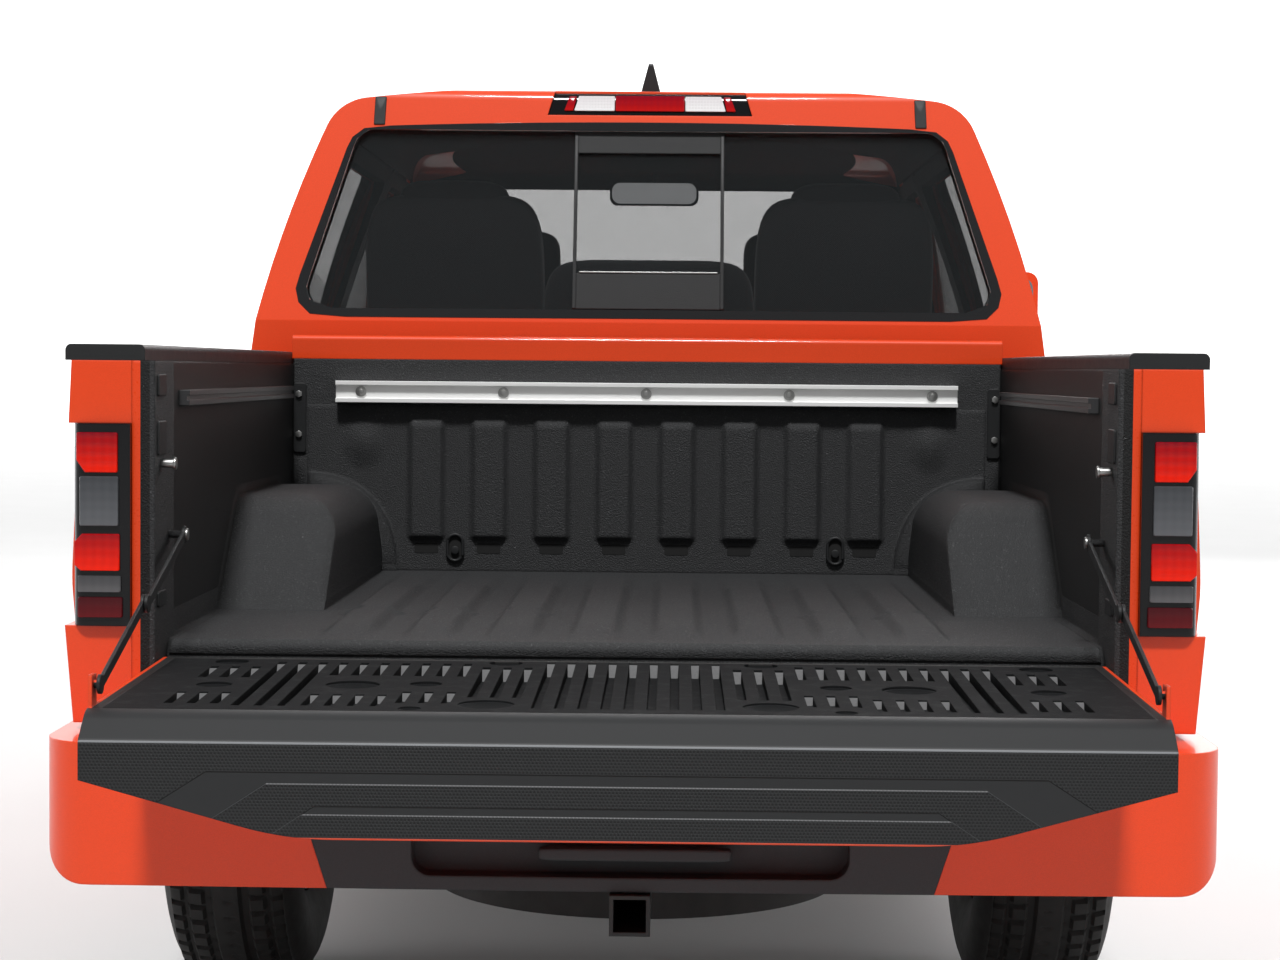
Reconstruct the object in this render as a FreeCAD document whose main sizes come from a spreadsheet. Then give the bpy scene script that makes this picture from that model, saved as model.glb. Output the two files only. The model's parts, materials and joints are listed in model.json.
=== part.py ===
"""Crew-cab pickup truck that stands with its tailgate lowered.

The truck points along +Y, with +X on its right and +Z up.  The origin lies on the ground,
on the centre line, halfway between the front bumper and the end of the lowered tailgate.
Every size is a cell of the sheet.  Values worked out from the cells keep their formula, so
that outlines, primitives and placements stay bound to the sheet.
"""
import FreeCAD, Part
import math
import os

import Sketcher
from FreeCAD import Placement, Rotation, Vector

# Driving sizes in millimetres, and angles named tilt in degrees
SIZES = {
    # whole truck
    "wheelbase": 3200.0,
    "front_overhang": 905.0,
    "bed_end_set": 1090.0,
    "tailgate_reach": 540.0,
    "wheel_inset": 140.0,
    "seat_gap": 0.3,
    "panel_gap": 7.5,
    "hinge_radius": 3.0,
    "hinge_leaf": 2.4,
    "hinge_length": 40.0,
    "hinge_reach": 52.0,
    "overrun": 50.0,
    # tyres and wheels
    "tyre_radius": 401.5,
    "tyre_width": 265.0,
    "tyre_tread_width": 214.0,
    "tyre_shoulder_drop": 16.0,
    "tyre_bead_width": 214.0,
    "tyre_belly_drop": 95.0,
    "rim_radius": 217.0,
    "rim_wall": 8.0,
    "rim_well_drop": 22.0,
    "rim_dish": 34.0,
    "rim_disc_thickness": 26.0,
    "rim_hub_radius": 78.0,
    "rim_bore_radius": 42.0,
    "window_inner_radius": 96.0,
    "window_outer_radius": 186.0,
    "window_round": 12.0,
    "spoke_width": 58.0,
    # knuckles and front suspension
    "kingpin_set": 95.0,
    "lower_ball_drop": 140.0,
    "knuckle_width": 56.0,
    "knuckle_depth": 70.0,
    "ball_pin_radius": 12.0,
    "spindle_radius": 36.0,
    "disc_radius": 150.0,
    "disc_thickness": 26.0,
    "arm_thickness": 30.0,
    "arm_eye_radius": 30.0,
    "lower_arm_root": 165.0,
    "upper_arm_root": 95.0,
    "strut_radius": 46.0,
    "strut_set": 130.0,
    "strut_top": 690.0,
    "tower_wall": 24.0,
    # frame
    "rail_outer": 415.0,
    "rail_width": 70.0,
    "rail_height": 130.0,
    "rail_mid_base": 400.0,
    "rail_front_base": 430.0,
    "rail_rear_base": 550.0,
    "rail_front_end": 700.0,
    "rail_front_kick": 420.0,
    "rail_kick_run": 310.0,
    "rail_rear_kick": 230.0,
    "rail_end_set": 110.0,
    "rail_round": 90.0,
    "member_depth": 70.0,
    "member_height": 75.0,
    "cradle_drop": 175.0,
    "cradle_depth": 190.0,
    # driveline
    "engine_half_width": 250.0,
    "engine_front": 420.0,
    "engine_rear": 240.0,
    "engine_top": 960.0,
    "gearbox_radius": 150.0,
    "gearbox_tail_radius": 78.0,
    "gearbox_length": 820.0,
    "shaft_radius": 38.0,
    "axle_tube_radius": 42.0,
    "axle_case_radius": 150.0,
    "axle_case_half": 130.0,
    "axle_nose": 190.0,
    "drum_radius": 140.0,
    "drum_depth": 62.0,
    "spring_width": 62.0,
    "spring_thickness": 42.0,
    "spring_half_span": 640.0,
    "spring_arch": 70.0,
    "spring_gap": 12.0,
    "spring_eye_radius": 34.0,
    # tank, exhaust and spare wheel
    "tank_width": 250.0,
    "tank_length": 760.0,
    "tank_height": 190.0,
    "tank_rear_set": 820.0,
    "tank_round": 50.0,
    "muffler_radius": 86.0,
    "muffler_length": 560.0,
    "muffler_set": 860.0,
    "muffler_x": 225.0,
    "muffler_height": 350.0,
    "pipe_radius": 27.0,
    "pipe_bend": 90.0,
    "pipe_outer_outset": 10.0,
    "pipe_over_axle": 560.0,
    "pipe_cross_height": 330.0,
    "pipe_end_height": 470.0,
    "pipe_end_set": 20.0,
    "spare_radius": 366.0,
    "spare_width": 225.0,
    "spare_set": 538.0,
    "spare_rim_radius": 205.0,
    # hitch
    "receiver_outer": 63.5,
    "receiver_bore": 50.8,
    "receiver_length": 330.0,
    "receiver_height": 405.0,
    "receiver_pin_radius": 8.0,
    "receiver_pin_set": 58.0,
    "hitch_bar": 66.0,
    # load bed
    "bed_floor_height": 800.0,
    "bed_depth": 483.0,
    "bed_floor_inset": 144.0,
    "bed_length": 1530.0,
    "bed_floor_thickness": 40.0,
    "bed_wall": 24.0,
    "bulkhead_thickness": 50.0,
    "bed_sill_width": 80.0,
    "bed_floor_end": 86.0,
    "floor_edge_round": 34.0,
    "rib_pitch": 138.5,
    "rib_width": 64.0,
    "rib_depth": 11.0,
    "rib_end": 60.0,
    "bulkhead_rib_base": 64.0,
    "bulkhead_rib_top": 350.0,
    "bulkhead_rise": 11.0,
    "bed_inset": 6.0,
    "bed_shoulder_inset": 23.0,
    "bed_skirt_inset": 35.0,
    "bed_side_base_fall": 240.0,
    "bed_tail_base_fall": 125.0,
    "bed_tail_run": 420.0,
    "pillar_inset": 157.0,
    "pillar_depth": 150.0,
    "cap_thickness": 26.0,
    "cap_inner_inset": 141.0,
    "cap_outer_inset": 13.0,
    "cap_round": 10.0,
    "lip_height": 52.0,
    "wheelhouse_inset": 343.0,
    "wheelhouse_top_rise": 201.0,
    "wheelhouse_radius": 480.0,
    "wheelhouse_top_set": 220.0,
    "wheelhouse_round": 130.0,
    "wheelhouse_edge": 80.0,
    "wheelhouse_wall": 26.0,
    "arch_radius": 462.0,
    "flare_width": 44.0,
    "flare_outset": 18.0,
    "cargo_rail_inset": 241.0,
    "cargo_rail_height": 47.0,
    "cargo_rail_depth": 30.0,
    "cargo_rail_wall": 5.0,
    "cargo_rail_lip": 9.0,
    "cargo_rail_top_rise": 420.0,
    "side_track_depth": 18.0,
    "side_track_height": 26.0,
    "side_track_front": 110.0,
    "side_track_rear": 260.0,
    # tailgate and its folding cables
    "gate_inset": 162.0,
    "gate_top_fall": 23.0,
    "gate_base_fall": 85.0,
    "gate_hinge_set": 30.0,
    "gate_hinge_fall": 42.0,
    "gate_lead": 24.0,
    "gate_droop": 12.0,
    "gate_lip_drop": 38.0,
    "gate_lip_run": 46.0,
    "gate_bulge_run": 210.0,
    "gate_bulge_base_fall": 104.0,
    "gate_bulge_round": 60.0,
    "gate_edge_base_fall": 20.0,
    "gate_corner_run": 290.0,
    "gate_belly_base": 592.0,
    "gate_corner_round": 500.0,
    "gate_cap_depth": 58.0,
    "gate_skin": 7.0,
    "liner_thickness": 13.0,
    "liner_inset": 183.0,
    "slot_pitch": 33.0,
    "slot_width": 13.0,
    "cup_radius": 27.0,
    "liner_slot_depth": 8.0,
    "hinge_pin_radius": 12.0,
    "hinge_pin_length": 34.0,
    "cable_thickness": 5.0,
    "cable_width": 16.0,
    "cable_eye_radius": 14.0,
    "cable_pin_radius": 6.0,
    "cable_gap": 1.0,
    "cable_inner_inset": 185.0,
    "cable_stud_set": 112.0,
    "cable_stud_rise": 172.0,
    "cable_end_set": 465.0,
    "cable_end_rise": 20.0,
    # rear bumper and lamps
    "bumper_top_fall": 29.0,
    "bumper_base_fall": 223.0,
    "bumper_reach": 144.0,
    "bumper_inset": 12.0,
    "bumper_wrap": 190.0,
    "bumper_wall": 100.0,
    "bumper_end_round": 70.0,
    "step_half_low": 455.0,
    "step_half_high": 560.0,
    "step_depth": 75.0,
    "bumper_round": 90.0,
    "plate_pocket_half": 340.0,
    "plate_pocket_round": 30.0,
    "plate_pocket_top_fall": 103.0,
    "plate_pocket_base_fall": 201.0,
    "plate_pocket_depth": 45.0,
    "plate_hole_radius": 3.5,
    "plate_hole_spacing": 177.8,
    "plate_hole_depth": 20.0,
    "lamp_base_rise": 32.0,
    "lamp_top_rise": 356.0,
    "lamp_back": 70.0,
    "lamp_bulge": 12.0,
    "lamp_round": 24.0,
    "lamp_inset": 26.0,
    "high_lamp_half": 234.0,
    "high_lamp_height": 58.0,
    "high_lamp_taper": 22.0,
    "high_lamp_depth": 16.0,
    "high_lamp_sink": 4.0,
    # cab
    "body_half": 925.0,
    "band_base": 690.0,
    "band_top": 1060.0,
    "band_round": 160.0,
    "glass_bow": 12.0,
    "belt_inset": 41.0,
    "belt_height": 1355.0,
    "waist_height": 900.0,
    "sill_inset": 41.0,
    "sill_depth": 150.0,
    "roof_edge_inset": 210.0,
    "roof_edge_rise": 507.0,
    "roof_top_rise": 46.0,
    "roof_round": 60.0,
    "roof_side_round": 110.0,
    "waist_round": 400.0,
    "cab_rear_set": 1640.0,
    "cab_front_set": 490.0,
    "cowl_set": 430.0,
    "cowl_fall": 105.0,
    "cowl_shelf": 56.0,
    "screen_top_set": 1130.0,
    "screen_top_fall": 68.0,
    "roof_peak_set": 1750.0,
    "strip_inset": 305.0,
    "strip_width": 28.0,
    "strip_depth": 5.0,
    "antenna_half": 26.0,
    "antenna_height": 60.0,
    "antenna_length": 170.0,
    "antenna_set": 120.0,
    "antenna_tip": 20.0,
    "roof_rear_set": 2510.0,
    "roof_rear_fall": 18.0,
    "backlight_lean": 110.0,
    "cab_base": 430.0,
    "cab_floor": 605.0,
    "cab_tunnel_top": 576.0,
    "cab_wall": 118.0,
    "frame_wall": 46.0,
    "roof_wall": 42.0,
    "rear_wall": 62.0,
    "firewall": 70.0,
    "mount_rail_inset": 6.0,
    # doors
    "door_front_set": 545.0,
    "door_split_set": 1628.0,
    "door_rear_set": 2480.0,
    "door_base": 482.0,
    "door_top_fall": 72.0,
    "door_lean": 30.0,
    "door_slab": 34.0,
    "door_flange": 20.0,
    "door_corner_round": 60.0,
    "handle_set": 175.0,
    "handle_height": 985.0,
    "handle_half_length": 92.0,
    "handle_half_height": 14.0,
    "handle_thickness": 16.0,
    "handle_stand": 15.0,
    "handle_round": 10.0,
    "cup_recess_radius": 42.0,
    "cup_recess_depth": 15.0,
    "a_pillar_width": 92.0,
    "c_pillar_lean": 110.0,
    "window_sill": 34.0,
    "window_frame": 52.0,
    "window_corner": 40.0,
    "glass_inset": 14.0,
    "glass_thickness": 5.0,
    "screen_frame": 58.0,
    "screen_glass": 6.0,
    "backlight_base_rise": 28.0,
    "backlight_top_fall": 112.0,
    "backlight_base_inset": 136.0,
    "backlight_top_inset": 258.0,
    "backlight_round": 46.0,
    # mirrors
    "mirror_width": 205.0,
    "mirror_height": 225.0,
    "mirror_depth": 110.0,
    "mirror_base_fall": 25.0,
    "mirror_set": 720.0,
    "mirror_round": 34.0,
    "mirror_arm": 60.0,
    # nose
    "fender_wall": 36.0,
    "fender_base": 520.0,
    "nose_inset": 45.0,
    "nose_front_set": 812.0,
    "hood_front_set": 790.0,
    "hood_front_fall": 113.0,
    "hood_rear_fall": 2.0,
    "hood_front_inset": 285.0,
    "hood_rear_inset": 190.0,
    "hood_thickness": 30.0,
    "hood_crown": 18.0,
    "dome_half": 430.0,
    "dome_shoulder": 60.0,
    "dome_rise": 12.0,
    "dome_run": 240.0,
    "dome_rear_set": 350.0,
    "dome_front_set": 690.0,
    "hood_hinge_x": 240.0,
    "nose_chamfer": 45.0,
    "nose_sweep": 95.0,
    "nose_corner": 170.0,
    "nose_corner_round": 120.0,
    "shoulder_drop": 70.0,
    "fender_shoulder_inset": 65.0,
    "support_depth": 40.0,
    "support_set": 560.0,
    "grille_inset": 405.0,
    "grille_top_fall": 75.0,
    "grille_base": 740.0,
    "grille_depth": 70.0,
    "grille_bar": 16.0,
    "grille_taper": 90.0,
    "grille_round": 30.0,
    "grille_edge": 34.0,
    "slot_round": 12.0,
    "headlamp_base_fall": 169.0,
    "headlamp_base_rise": 30.0,
    "headlamp_outer_fall": 50.0,
    "headlamp_round": 24.0,
    "front_bumper_top": 760.0,
    "front_bumper_base": 400.0,
    "front_bumper_wrap": 485.0,
    "front_bumper_wall": 90.0,
    "front_bumper_round": 100.0,
    "front_bumper_inset": 20.0,
    "front_bumper_sweep": 100.0,
    "front_bumper_corner": 160.0,
    "front_bumper_toe": 60.0,
    "intake_half": 430.0,
    "intake_base": 470.0,
    "intake_top": 600.0,
    "intake_depth": 90.0,
    "intake_taper": 40.0,
    "intake_round": 24.0,
    "fog_x": 660.0,
    "fog_height": 560.0,
    "fog_radius": 52.0,
    "fog_set": 785.0,
    # inside the cab
    "dash_top_fall": 70.0,
    "dash_base": 840.0,
    "dash_depth": 330.0,
    "steering_wheel_radius": 188.0,
    "steering_wheel_grip": 15.0,
    "steering_column_radius": 28.0,
    "steering_column_length": 260.0,
    "steering_column_tilt": 25.0,
    "steering_wheel_set": 1010.0,
    "steering_wheel_height": 1140.0,
    "front_seat_set": 1420.0,
    "rear_seat_set": 2300.0,
    "console_half": 120.0,
    "seat_depth": 470.0,
    "seat_cushion_top": 900.0,
    "seat_back_top_fall": 180.0,
    "seat_back_thickness": 120.0,
    "seat_back_lean": 130.0,
    "headrest_top_fall": 300.0,
    "headrest_half_width": 125.0,
    "bench_inset": 305.0,
    "interior_mirror_half": 125.0,
    "interior_mirror_height": 67.0,
    "interior_mirror_depth": 22.0,
    "interior_mirror_top_fall": 128.0,
    "interior_mirror_set": 1220.0,
}

# A size that follows another: its name, its leader, the distance kept and its sign
FOLLOWERS = (
    ("belt_half", "body_half", "belt_inset", -1),
    ("sill_half", "body_half", "sill_inset", -1),
    ("roof_edge_half", "body_half", "roof_edge_inset", -1),
    ("backlight_base_half", "body_half", "backlight_base_inset", -1),
    ("backlight_top_half", "body_half", "backlight_top_inset", -1),
    ("nose_half", "body_half", "nose_inset", -1),
    ("hood_half_rear", "body_half", "hood_rear_inset", -1),
    ("hood_half_front", "body_half", "hood_front_inset", -1),
    ("fender_shoulder_half", "body_half", "fender_shoulder_inset", -1),
    ("grille_half", "body_half", "grille_inset", -1),
    ("bed_floor_half", "body_half", "bed_floor_inset", -1),
    ("bed_half", "body_half", "bed_inset", -1),
    ("bed_shoulder_half", "body_half", "bed_shoulder_inset", -1),
    ("bed_skirt_half", "body_half", "bed_skirt_inset", -1),
    ("pillar_half", "body_half", "pillar_inset", -1),
    ("cap_inner_half", "body_half", "cap_inner_inset", -1),
    ("cap_outer_half", "body_half", "cap_outer_inset", -1),
    ("wheelhouse_half", "body_half", "wheelhouse_inset", -1),
    ("cargo_rail_half", "body_half", "cargo_rail_inset", -1),
    ("gate_half", "body_half", "gate_inset", -1),
    ("liner_half", "body_half", "liner_inset", -1),
    ("cable_inner_x", "body_half", "cable_inner_inset", -1),
    ("flare_half", "body_half", "flare_outset", 1),
    ("bench_half_width", "body_half", "bench_inset", -1),
    ("pipe_outer_x", "wheelhouse_half", "pipe_outer_outset", 1),
    ("cowl_height", "belt_height", "cowl_fall", -1),
    ("roof_edge_height", "belt_height", "roof_edge_rise", 1),
    ("roof_top", "roof_edge_height", "roof_top_rise", 1),
    ("screen_top_height", "roof_top", "screen_top_fall", -1),
    ("roof_rear_height", "roof_top", "roof_rear_fall", -1),
    ("backlight_base", "belt_height", "backlight_base_rise", 1),
    ("backlight_top", "roof_top", "backlight_top_fall", -1),
    ("door_top", "roof_edge_height", "door_top_fall", -1),
    ("hood_rear_height", "cowl_height", "hood_rear_fall", -1),
    ("hood_front_height", "hood_rear_height", "hood_front_fall", -1),
    ("grille_top", "hood_front_height", "grille_top_fall", -1),
    ("mirror_base", "belt_height", "mirror_base_fall", -1),
    ("dash_top", "cowl_height", "dash_top_fall", -1),
    ("headrest_top", "roof_top", "headrest_top_fall", -1),
    ("seat_back_top", "headrest_top", "seat_back_top_fall", -1),
    ("wheelhouse_top", "bed_floor_height", "wheelhouse_top_rise", 1),
    ("gate_top", "bed_floor_height", "gate_top_fall", -1),
    ("gate_base", "gate_top", "gate_base_fall", -1),
    ("gate_hinge_height", "gate_top", "gate_hinge_fall", -1),
    ("gate_bulge_base", "gate_base", "gate_bulge_base_fall", -1),
    ("gate_edge_base", "gate_base", "gate_edge_base_fall", -1),
    ("cable_stud_height", "bed_floor_height", "cable_stud_rise", 1),
    ("cable_end_height", "gate_top", "cable_end_rise", 1),
    ("bumper_top", "gate_base", "bumper_top_fall", -1),
    ("plate_pocket_top", "bumper_top", "plate_pocket_top_fall", -1),
    ("plate_pocket_base", "bumper_top", "plate_pocket_base_fall", -1),
    ("bumper_base", "bumper_top", "bumper_base_fall", -1),
    ("lamp_base", "bed_floor_height", "lamp_base_rise", 1),
    ("lamp_top", "bed_floor_height", "lamp_top_rise", 1),
    ("bed_side_base", "bed_floor_height", "bed_side_base_fall", -1),
    ("bed_tail_base", "bed_floor_height", "bed_tail_base_fall", -1),
    ("cargo_rail_top", "bed_floor_height", "cargo_rail_top_rise", 1),
    ("interior_mirror_top", "roof_top", "interior_mirror_top_fall", -1),
    ("headlamp_base", "grille_top", "headlamp_base_fall", -1),
)

# Shares of a way, and counts of like features
MEMBER_SHARES = (0.0, 0.5, 1.0)
SILL_SHARES = (0.0, 0.36, 0.68, 1.0)
GEARBOX_SHARES = (0.28, 0.48)
SPOKES = 6
SPOKE_SHARES = tuple(step / SPOKES for step in range(SPOKES))
# Grooves to each side of the middle one
RIB_STEPS = 3
# Groups of slots in the liner: first and last step from the middle, and the shares of the
# way from the hinge to the cap where they start and end
SLOT_GROUPS = ((0, 4, 0.04, 0.93), (5, 7, 0.17, 0.75), (8, 14, 0.1, 0.36), (8, 10, 0.66, 0.86),
               (11, 14, 0.72, 0.92), (15, 17, 0.1, 0.93), (18, 20, 0.2, 0.42), (18, 20, 0.7, 0.9))
# Round cups in the liner: step from the middle, share of the way and share of the radius
LINER_CUPS = ((6.2, 0.08, 1), (6.2, 0.87, 1.5), (9.4, 0.51, 0.9), (9.4, 0.95, 0.6),
              (12.7, 0.54, 1.5), (19.5, 0.1, 1), (19, 0.56, 1))
# Where a strap folds on its way from the bed to the tailgate
FOLD_SHARE = 0.5
# Where the slots of the grille start and end, from its base to its top
GRILLE_SHARES = ((0.0, 0.2), (0.27, 0.47), (0.54, 0.74), (0.81, 1.0))

# Angles in degrees
RIGHT_ANGLE = 90.0
THIRD_TURN = 120.0
FULL_TURN = 360.0


class Size:
    """A value in millimetres with the formula that ties it to the sheet."""

    def __init__(self, value, formula):
        self.value = float(value)
        self.formula = formula

    def __float__(self):
        return self.value

    def joined(self, sign, other, value):
        """A new size whose formula joins this one and another."""
        return Size(value, f"({self.formula} {sign} {formula_of(other)})")

    def __add__(self, other):
        return self.joined("+", other, self.value + float(other))

    def __sub__(self, other):
        return self.joined("-", other, self.value - float(other))

    def __mul__(self, other):
        return self.joined("*", other, self.value * float(other))

    def __truediv__(self, other):
        return self.joined("/", other, self.value / float(other))

    def __neg__(self):
        return Size(-self.value, f"(0 - {self.formula})")

    def __radd__(self, other):
        return self + other

    def __rsub__(self, other):
        return -self + other

    __rmul__ = __mul__


def formula_of(size):
    """The formula of a size, or a plain number written out."""
    return size.formula if isinstance(size, Size) else repr(float(size))


def between(first, last, share):
    """The place a given share of the way from first to last."""
    return first + (last - first) * share


doc = FreeCAD.newDocument("pickup_truck")
sheet = doc.addObject("Spreadsheet::Sheet", "Sizes")


class Dimensions:
    """Every cell of the sheet as a Size, under its own name."""

    def __init__(self, table):
        for row, (name, value) in enumerate(table.items(), start=1):
            sheet.set(f"A{row}", name)
            sheet.set(f"B{row}", str(value))
            sheet.setAlias(f"B{row}", name)
            setattr(self, name, Size(value, f"Sizes.{name}"))


dim = Dimensions(SIZES)
for follower, leader, distance, sign in FOLLOWERS:
    setattr(dim, follower, getattr(dim, leader) + getattr(dim, distance) * sign)
doc.recompute()

# Places along the truck
half_length = (dim.front_overhang + dim.wheelbase + dim.bed_end_set + dim.tailgate_reach) / 2
front_axle_y = half_length - dim.front_overhang
rear_axle_y = front_axle_y - dim.wheelbase
bed_end_y = rear_axle_y - dim.bed_end_set
gate_end_y = bed_end_y - dim.tailgate_reach
bulkhead_y = bed_end_y + dim.bed_length
bed_front_y = bulkhead_y + dim.bulkhead_thickness
cab_rear_y = bed_end_y + dim.cab_rear_set
cab_front_y = front_axle_y - dim.cab_front_set
axle_z = dim.tyre_radius
wheel_x = dim.body_half - dim.wheel_inset
kingpin_x = wheel_x - dim.kingpin_set
rail_inner = dim.rail_outer - dim.rail_width
bed_top = dim.bed_floor_height + dim.bed_depth
sill_zone_z = dim.bed_floor_height - dim.bed_floor_thickness
gate_hinge_y = bed_end_y + dim.gate_hinge_set
hood_hinge_y = front_axle_y - dim.cowl_set + dim.panel_gap / 2
hood_fall = (dim.hood_rear_height - dim.hood_front_height) / (
    dim.nose_front_set - dim.nose_chamfer + dim.door_front_set - dim.panel_gap)
hood_hinge_z = (dim.hood_rear_height
                - hood_fall * (dim.door_front_set - dim.cowl_set + dim.panel_gap / 2))

# Turns that bring a sketch or cylinder into each plane or direction
FACE_TURNS = {
    "XY": Rotation(),
    "XZ": Rotation(Vector(1, 0, 0), RIGHT_ANGLE),
    "YZ": Rotation(Vector(1, 1, 1), THIRD_TURN),
}
AXIS_TURNS = {
    "X": Rotation(Vector(0, 1, 0), RIGHT_ANGLE),
    "Y": Rotation(Vector(1, 0, 0), -RIGHT_ANGLE),
    "Z": Rotation(),
}
NORMAL_AXIS = {"XY": "z", "XZ": "y", "YZ": "x"}
nodes = {}


def bind(item, name, size):
    """Set one property and tie it to the sheet."""
    if isinstance(size, Size):
        item.setExpression(name, size.formula)
    elif "." not in name:
        setattr(item, name, float(size))


def put(item, turn, x=0, y=0, z=0):
    """Place an object at x, y, z with a turn, tied to the sheet."""
    item.Placement = Placement(Vector(float(x), float(y), float(z)), turn)
    for axis, size in zip("xyz", (x, y, z)):
        bind(item, f"Placement.Base.{axis}", size)
    return item


def end_at(sketch, edge, point):
    """Which end of an edge lies at a point: 1 for its start, 2 for its end."""
    distances = [sketch.getPoint(edge, end).distanceToPoint(point) for end in (1, 2)]
    return 1 if distances[0] < distances[1] else 2


def draw(sketch, corners):
    """Draw a closed outline from corners (u, v, round, bow).

    A round replaces the corner by an arc of that radius.  A bow bends the edge that leaves
    the corner into an arc of that radius, outwards for an outline drawn anticlockwise.
    """
    count = len(corners)
    points = [Vector(float(corner[0]), float(corner[1]), 0) for corner in corners]
    rounds = [corner[2] if len(corner) > 2 else 0 for corner in corners]
    bows = [corner[3] if len(corner) > 3 else 0 for corner in corners]
    arrive = list(points)
    leave = list(points)
    for i in range(count):
        if float(rounds[i]):
            back = (points[i - 1] - points[i]).normalize()
            ahead = (points[(i + 1) % count] - points[i]).normalize()
            reach = float(rounds[i]) / math.tan(back.getAngle(ahead) / 2)
            arrive[i] = points[i] + back * reach
            leave[i] = points[i] + ahead * reach
    edges = []
    for i in range(count):
        start, end = leave[i], arrive[(i + 1) % count]
        first = 1
        if float(bows[i]):
            chord = end - start
            side = Vector(chord.y, -chord.x, 0).normalize()
            radius = abs(float(bows[i]))
            sag = radius - math.sqrt(radius ** 2 - (chord.Length / 2) ** 2)
            sag = math.copysign(sag, float(bows[i]))
            edge = sketch.addGeometry(Part.Arc(start, (start + end) / 2 + side * sag, end))
            first = end_at(sketch, edge, start)
            number = sketch.addConstraint(Sketcher.Constraint("Radius", edge, radius))
            tied = bows[i] if float(bows[i]) > 0 else -bows[i]
            sketch.setExpression(f"Constraints[{number}]", tied.formula)
        else:
            edge = sketch.addGeometry(Part.LineSegment(start, end))
        edges.append((edge, first, 3 - first))
    for i in range(count):
        before, after = edges[i - 1], edges[i]
        if float(rounds[i]):
            radius = float(rounds[i])
            towards = ((arrive[i] + leave[i]) / 2 - points[i]).normalize()
            distance = math.hypot((arrive[i] - points[i]).Length, radius)
            middle = points[i] + towards * (distance - radius)
            arc = sketch.addGeometry(Part.Arc(arrive[i], middle, leave[i]))
            first = end_at(sketch, arc, arrive[i])
            for link in ((before[0], before[2], arc, first), (arc, 3 - first, after[0], after[1])):
                sketch.addConstraint(Sketcher.Constraint("Tangent", *link))
            number = sketch.addConstraint(Sketcher.Constraint("Radius", arc, radius))
            sketch.setExpression(f"Constraints[{number}]", rounds[i].formula)
            point = sketch.addGeometry(Part.Point(points[i]), True)
            for edge in (before[0], after[0]):
                sketch.addConstraint(Sketcher.Constraint("PointOnObject", point, 1, edge))
            spot = (point, 1)
        else:
            link = (before[0], before[2], after[0], after[1])
            sketch.addConstraint(Sketcher.Constraint("Coincident", *link))
            spot = (after[0], after[1])
        for kind, size in zip(("DistanceX", "DistanceY"), corners[i]):
            rule = Sketcher.Constraint(kind, -1, 1, *spot, float(size))
            number = sketch.addConstraint(rule)
            if isinstance(size, Size):
                sketch.setExpression(f"Constraints[{number}]", size.formula)


def outline(plane, corners, at=0):
    """A sketch in one of the three planes, at a distance along its own axis."""
    sketch = doc.addObject("Sketcher::SketchObject", "Outline")
    place = {NORMAL_AXIS[plane]: at}
    put(sketch, FACE_TURNS[plane], **place)
    draw(sketch, corners)
    return sketch


def prism(plane, corners, start, end):
    """An outline carried from start to end along the axis across its plane."""
    backwards = plane == "XZ"
    solid = doc.addObject("Part::Extrusion", "Prism")
    solid.Base = outline(plane, corners, end if backwards else start)
    solid.DirMode = "Normal"
    solid.Solid = True
    bind(solid, "LengthFwd", end - start)
    return solid


def leaning_prism(corners, start, end, fall):
    """A front view carried forwards from start to end while it sinks by a share of the way."""
    solid = doc.addObject("Part::Extrusion", "Prism")
    solid.Base = outline("XZ", corners, start)
    solid.DirMode = "Custom"
    solid.Dir = Vector(0, 1, -float(fall))
    bind(solid, "Dir.z", -fall)
    solid.Solid = True
    bind(solid, "LengthFwd", end - start + dim.overrun)
    return solid


def block(x, y, z):
    """A box from its low and high places along each axis."""
    solid = doc.addObject("Part::Box", "Block")
    for name, (low, high) in zip(("Length", "Width", "Height"), (x, y, z)):
        bind(solid, name, high - low)
    return put(solid, Rotation(), x[0], y[0], z[0])


def rod(axis, centre, radius, start, end):
    """A round bar along one axis from start to end; centre is given in the other two."""
    solid = doc.addObject("Part::Cylinder", "Rod")
    bind(solid, "Radius", radius)
    bind(solid, "Height", end - start)
    low, high = centre
    places = {"X": (start, low, high), "Y": (low, start, high), "Z": (low, high, start)}
    return put(solid, AXIS_TURNS[axis], *places[axis])


def turned(axis, centre, corners):
    """An outline of (along, radius) corners turned about an axis through centre."""
    sketch = doc.addObject("Sketcher::SketchObject", "Outline")
    if axis == "X":
        draw(sketch, corners)
    else:
        draw(sketch, [(corner[1], corner[0]) + tuple(corner[2:]) for corner in corners])
    solid = doc.addObject("Part::Revolution", "Turned")
    solid.Source = sketch
    solid.Axis = Vector(1, 0, 0) if axis == "X" else Vector(0, 1, 0)
    solid.Angle = FULL_TURN
    solid.Solid = True
    return put(solid, Rotation(), *centre)


def fused(*items):
    """Several solids grown into one."""
    solid = doc.addObject("Part::MultiFuse", "Fused")
    solid.Shapes = list(items)
    solid.Refine = True
    return solid


def cut(base, *tools):
    """A solid less the space of others."""
    solid = doc.addObject("Part::Cut", "Cut")
    solid.Base = base
    solid.Tool = tools[0] if len(tools) == 1 else fused(*tools)
    solid.Refine = True
    return solid


def common(first, second):
    """The space that two solids share."""
    solid = doc.addObject("Part::Common", "Common")
    solid.Base = first
    solid.Tool = second
    solid.Refine = True
    return solid


def group(*items):
    """Several solids kept as one piece."""
    solid = doc.addObject("Part::Compound", "Group")
    solid.Links = list(items)
    return solid


def mirrored(item):
    """The same piece on the other side of the centre line."""
    solid = doc.addObject("Part::Mirroring", "Mirrored")
    solid.Source = item
    solid.Normal = Vector(1, 0, 0)
    return solid


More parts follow.
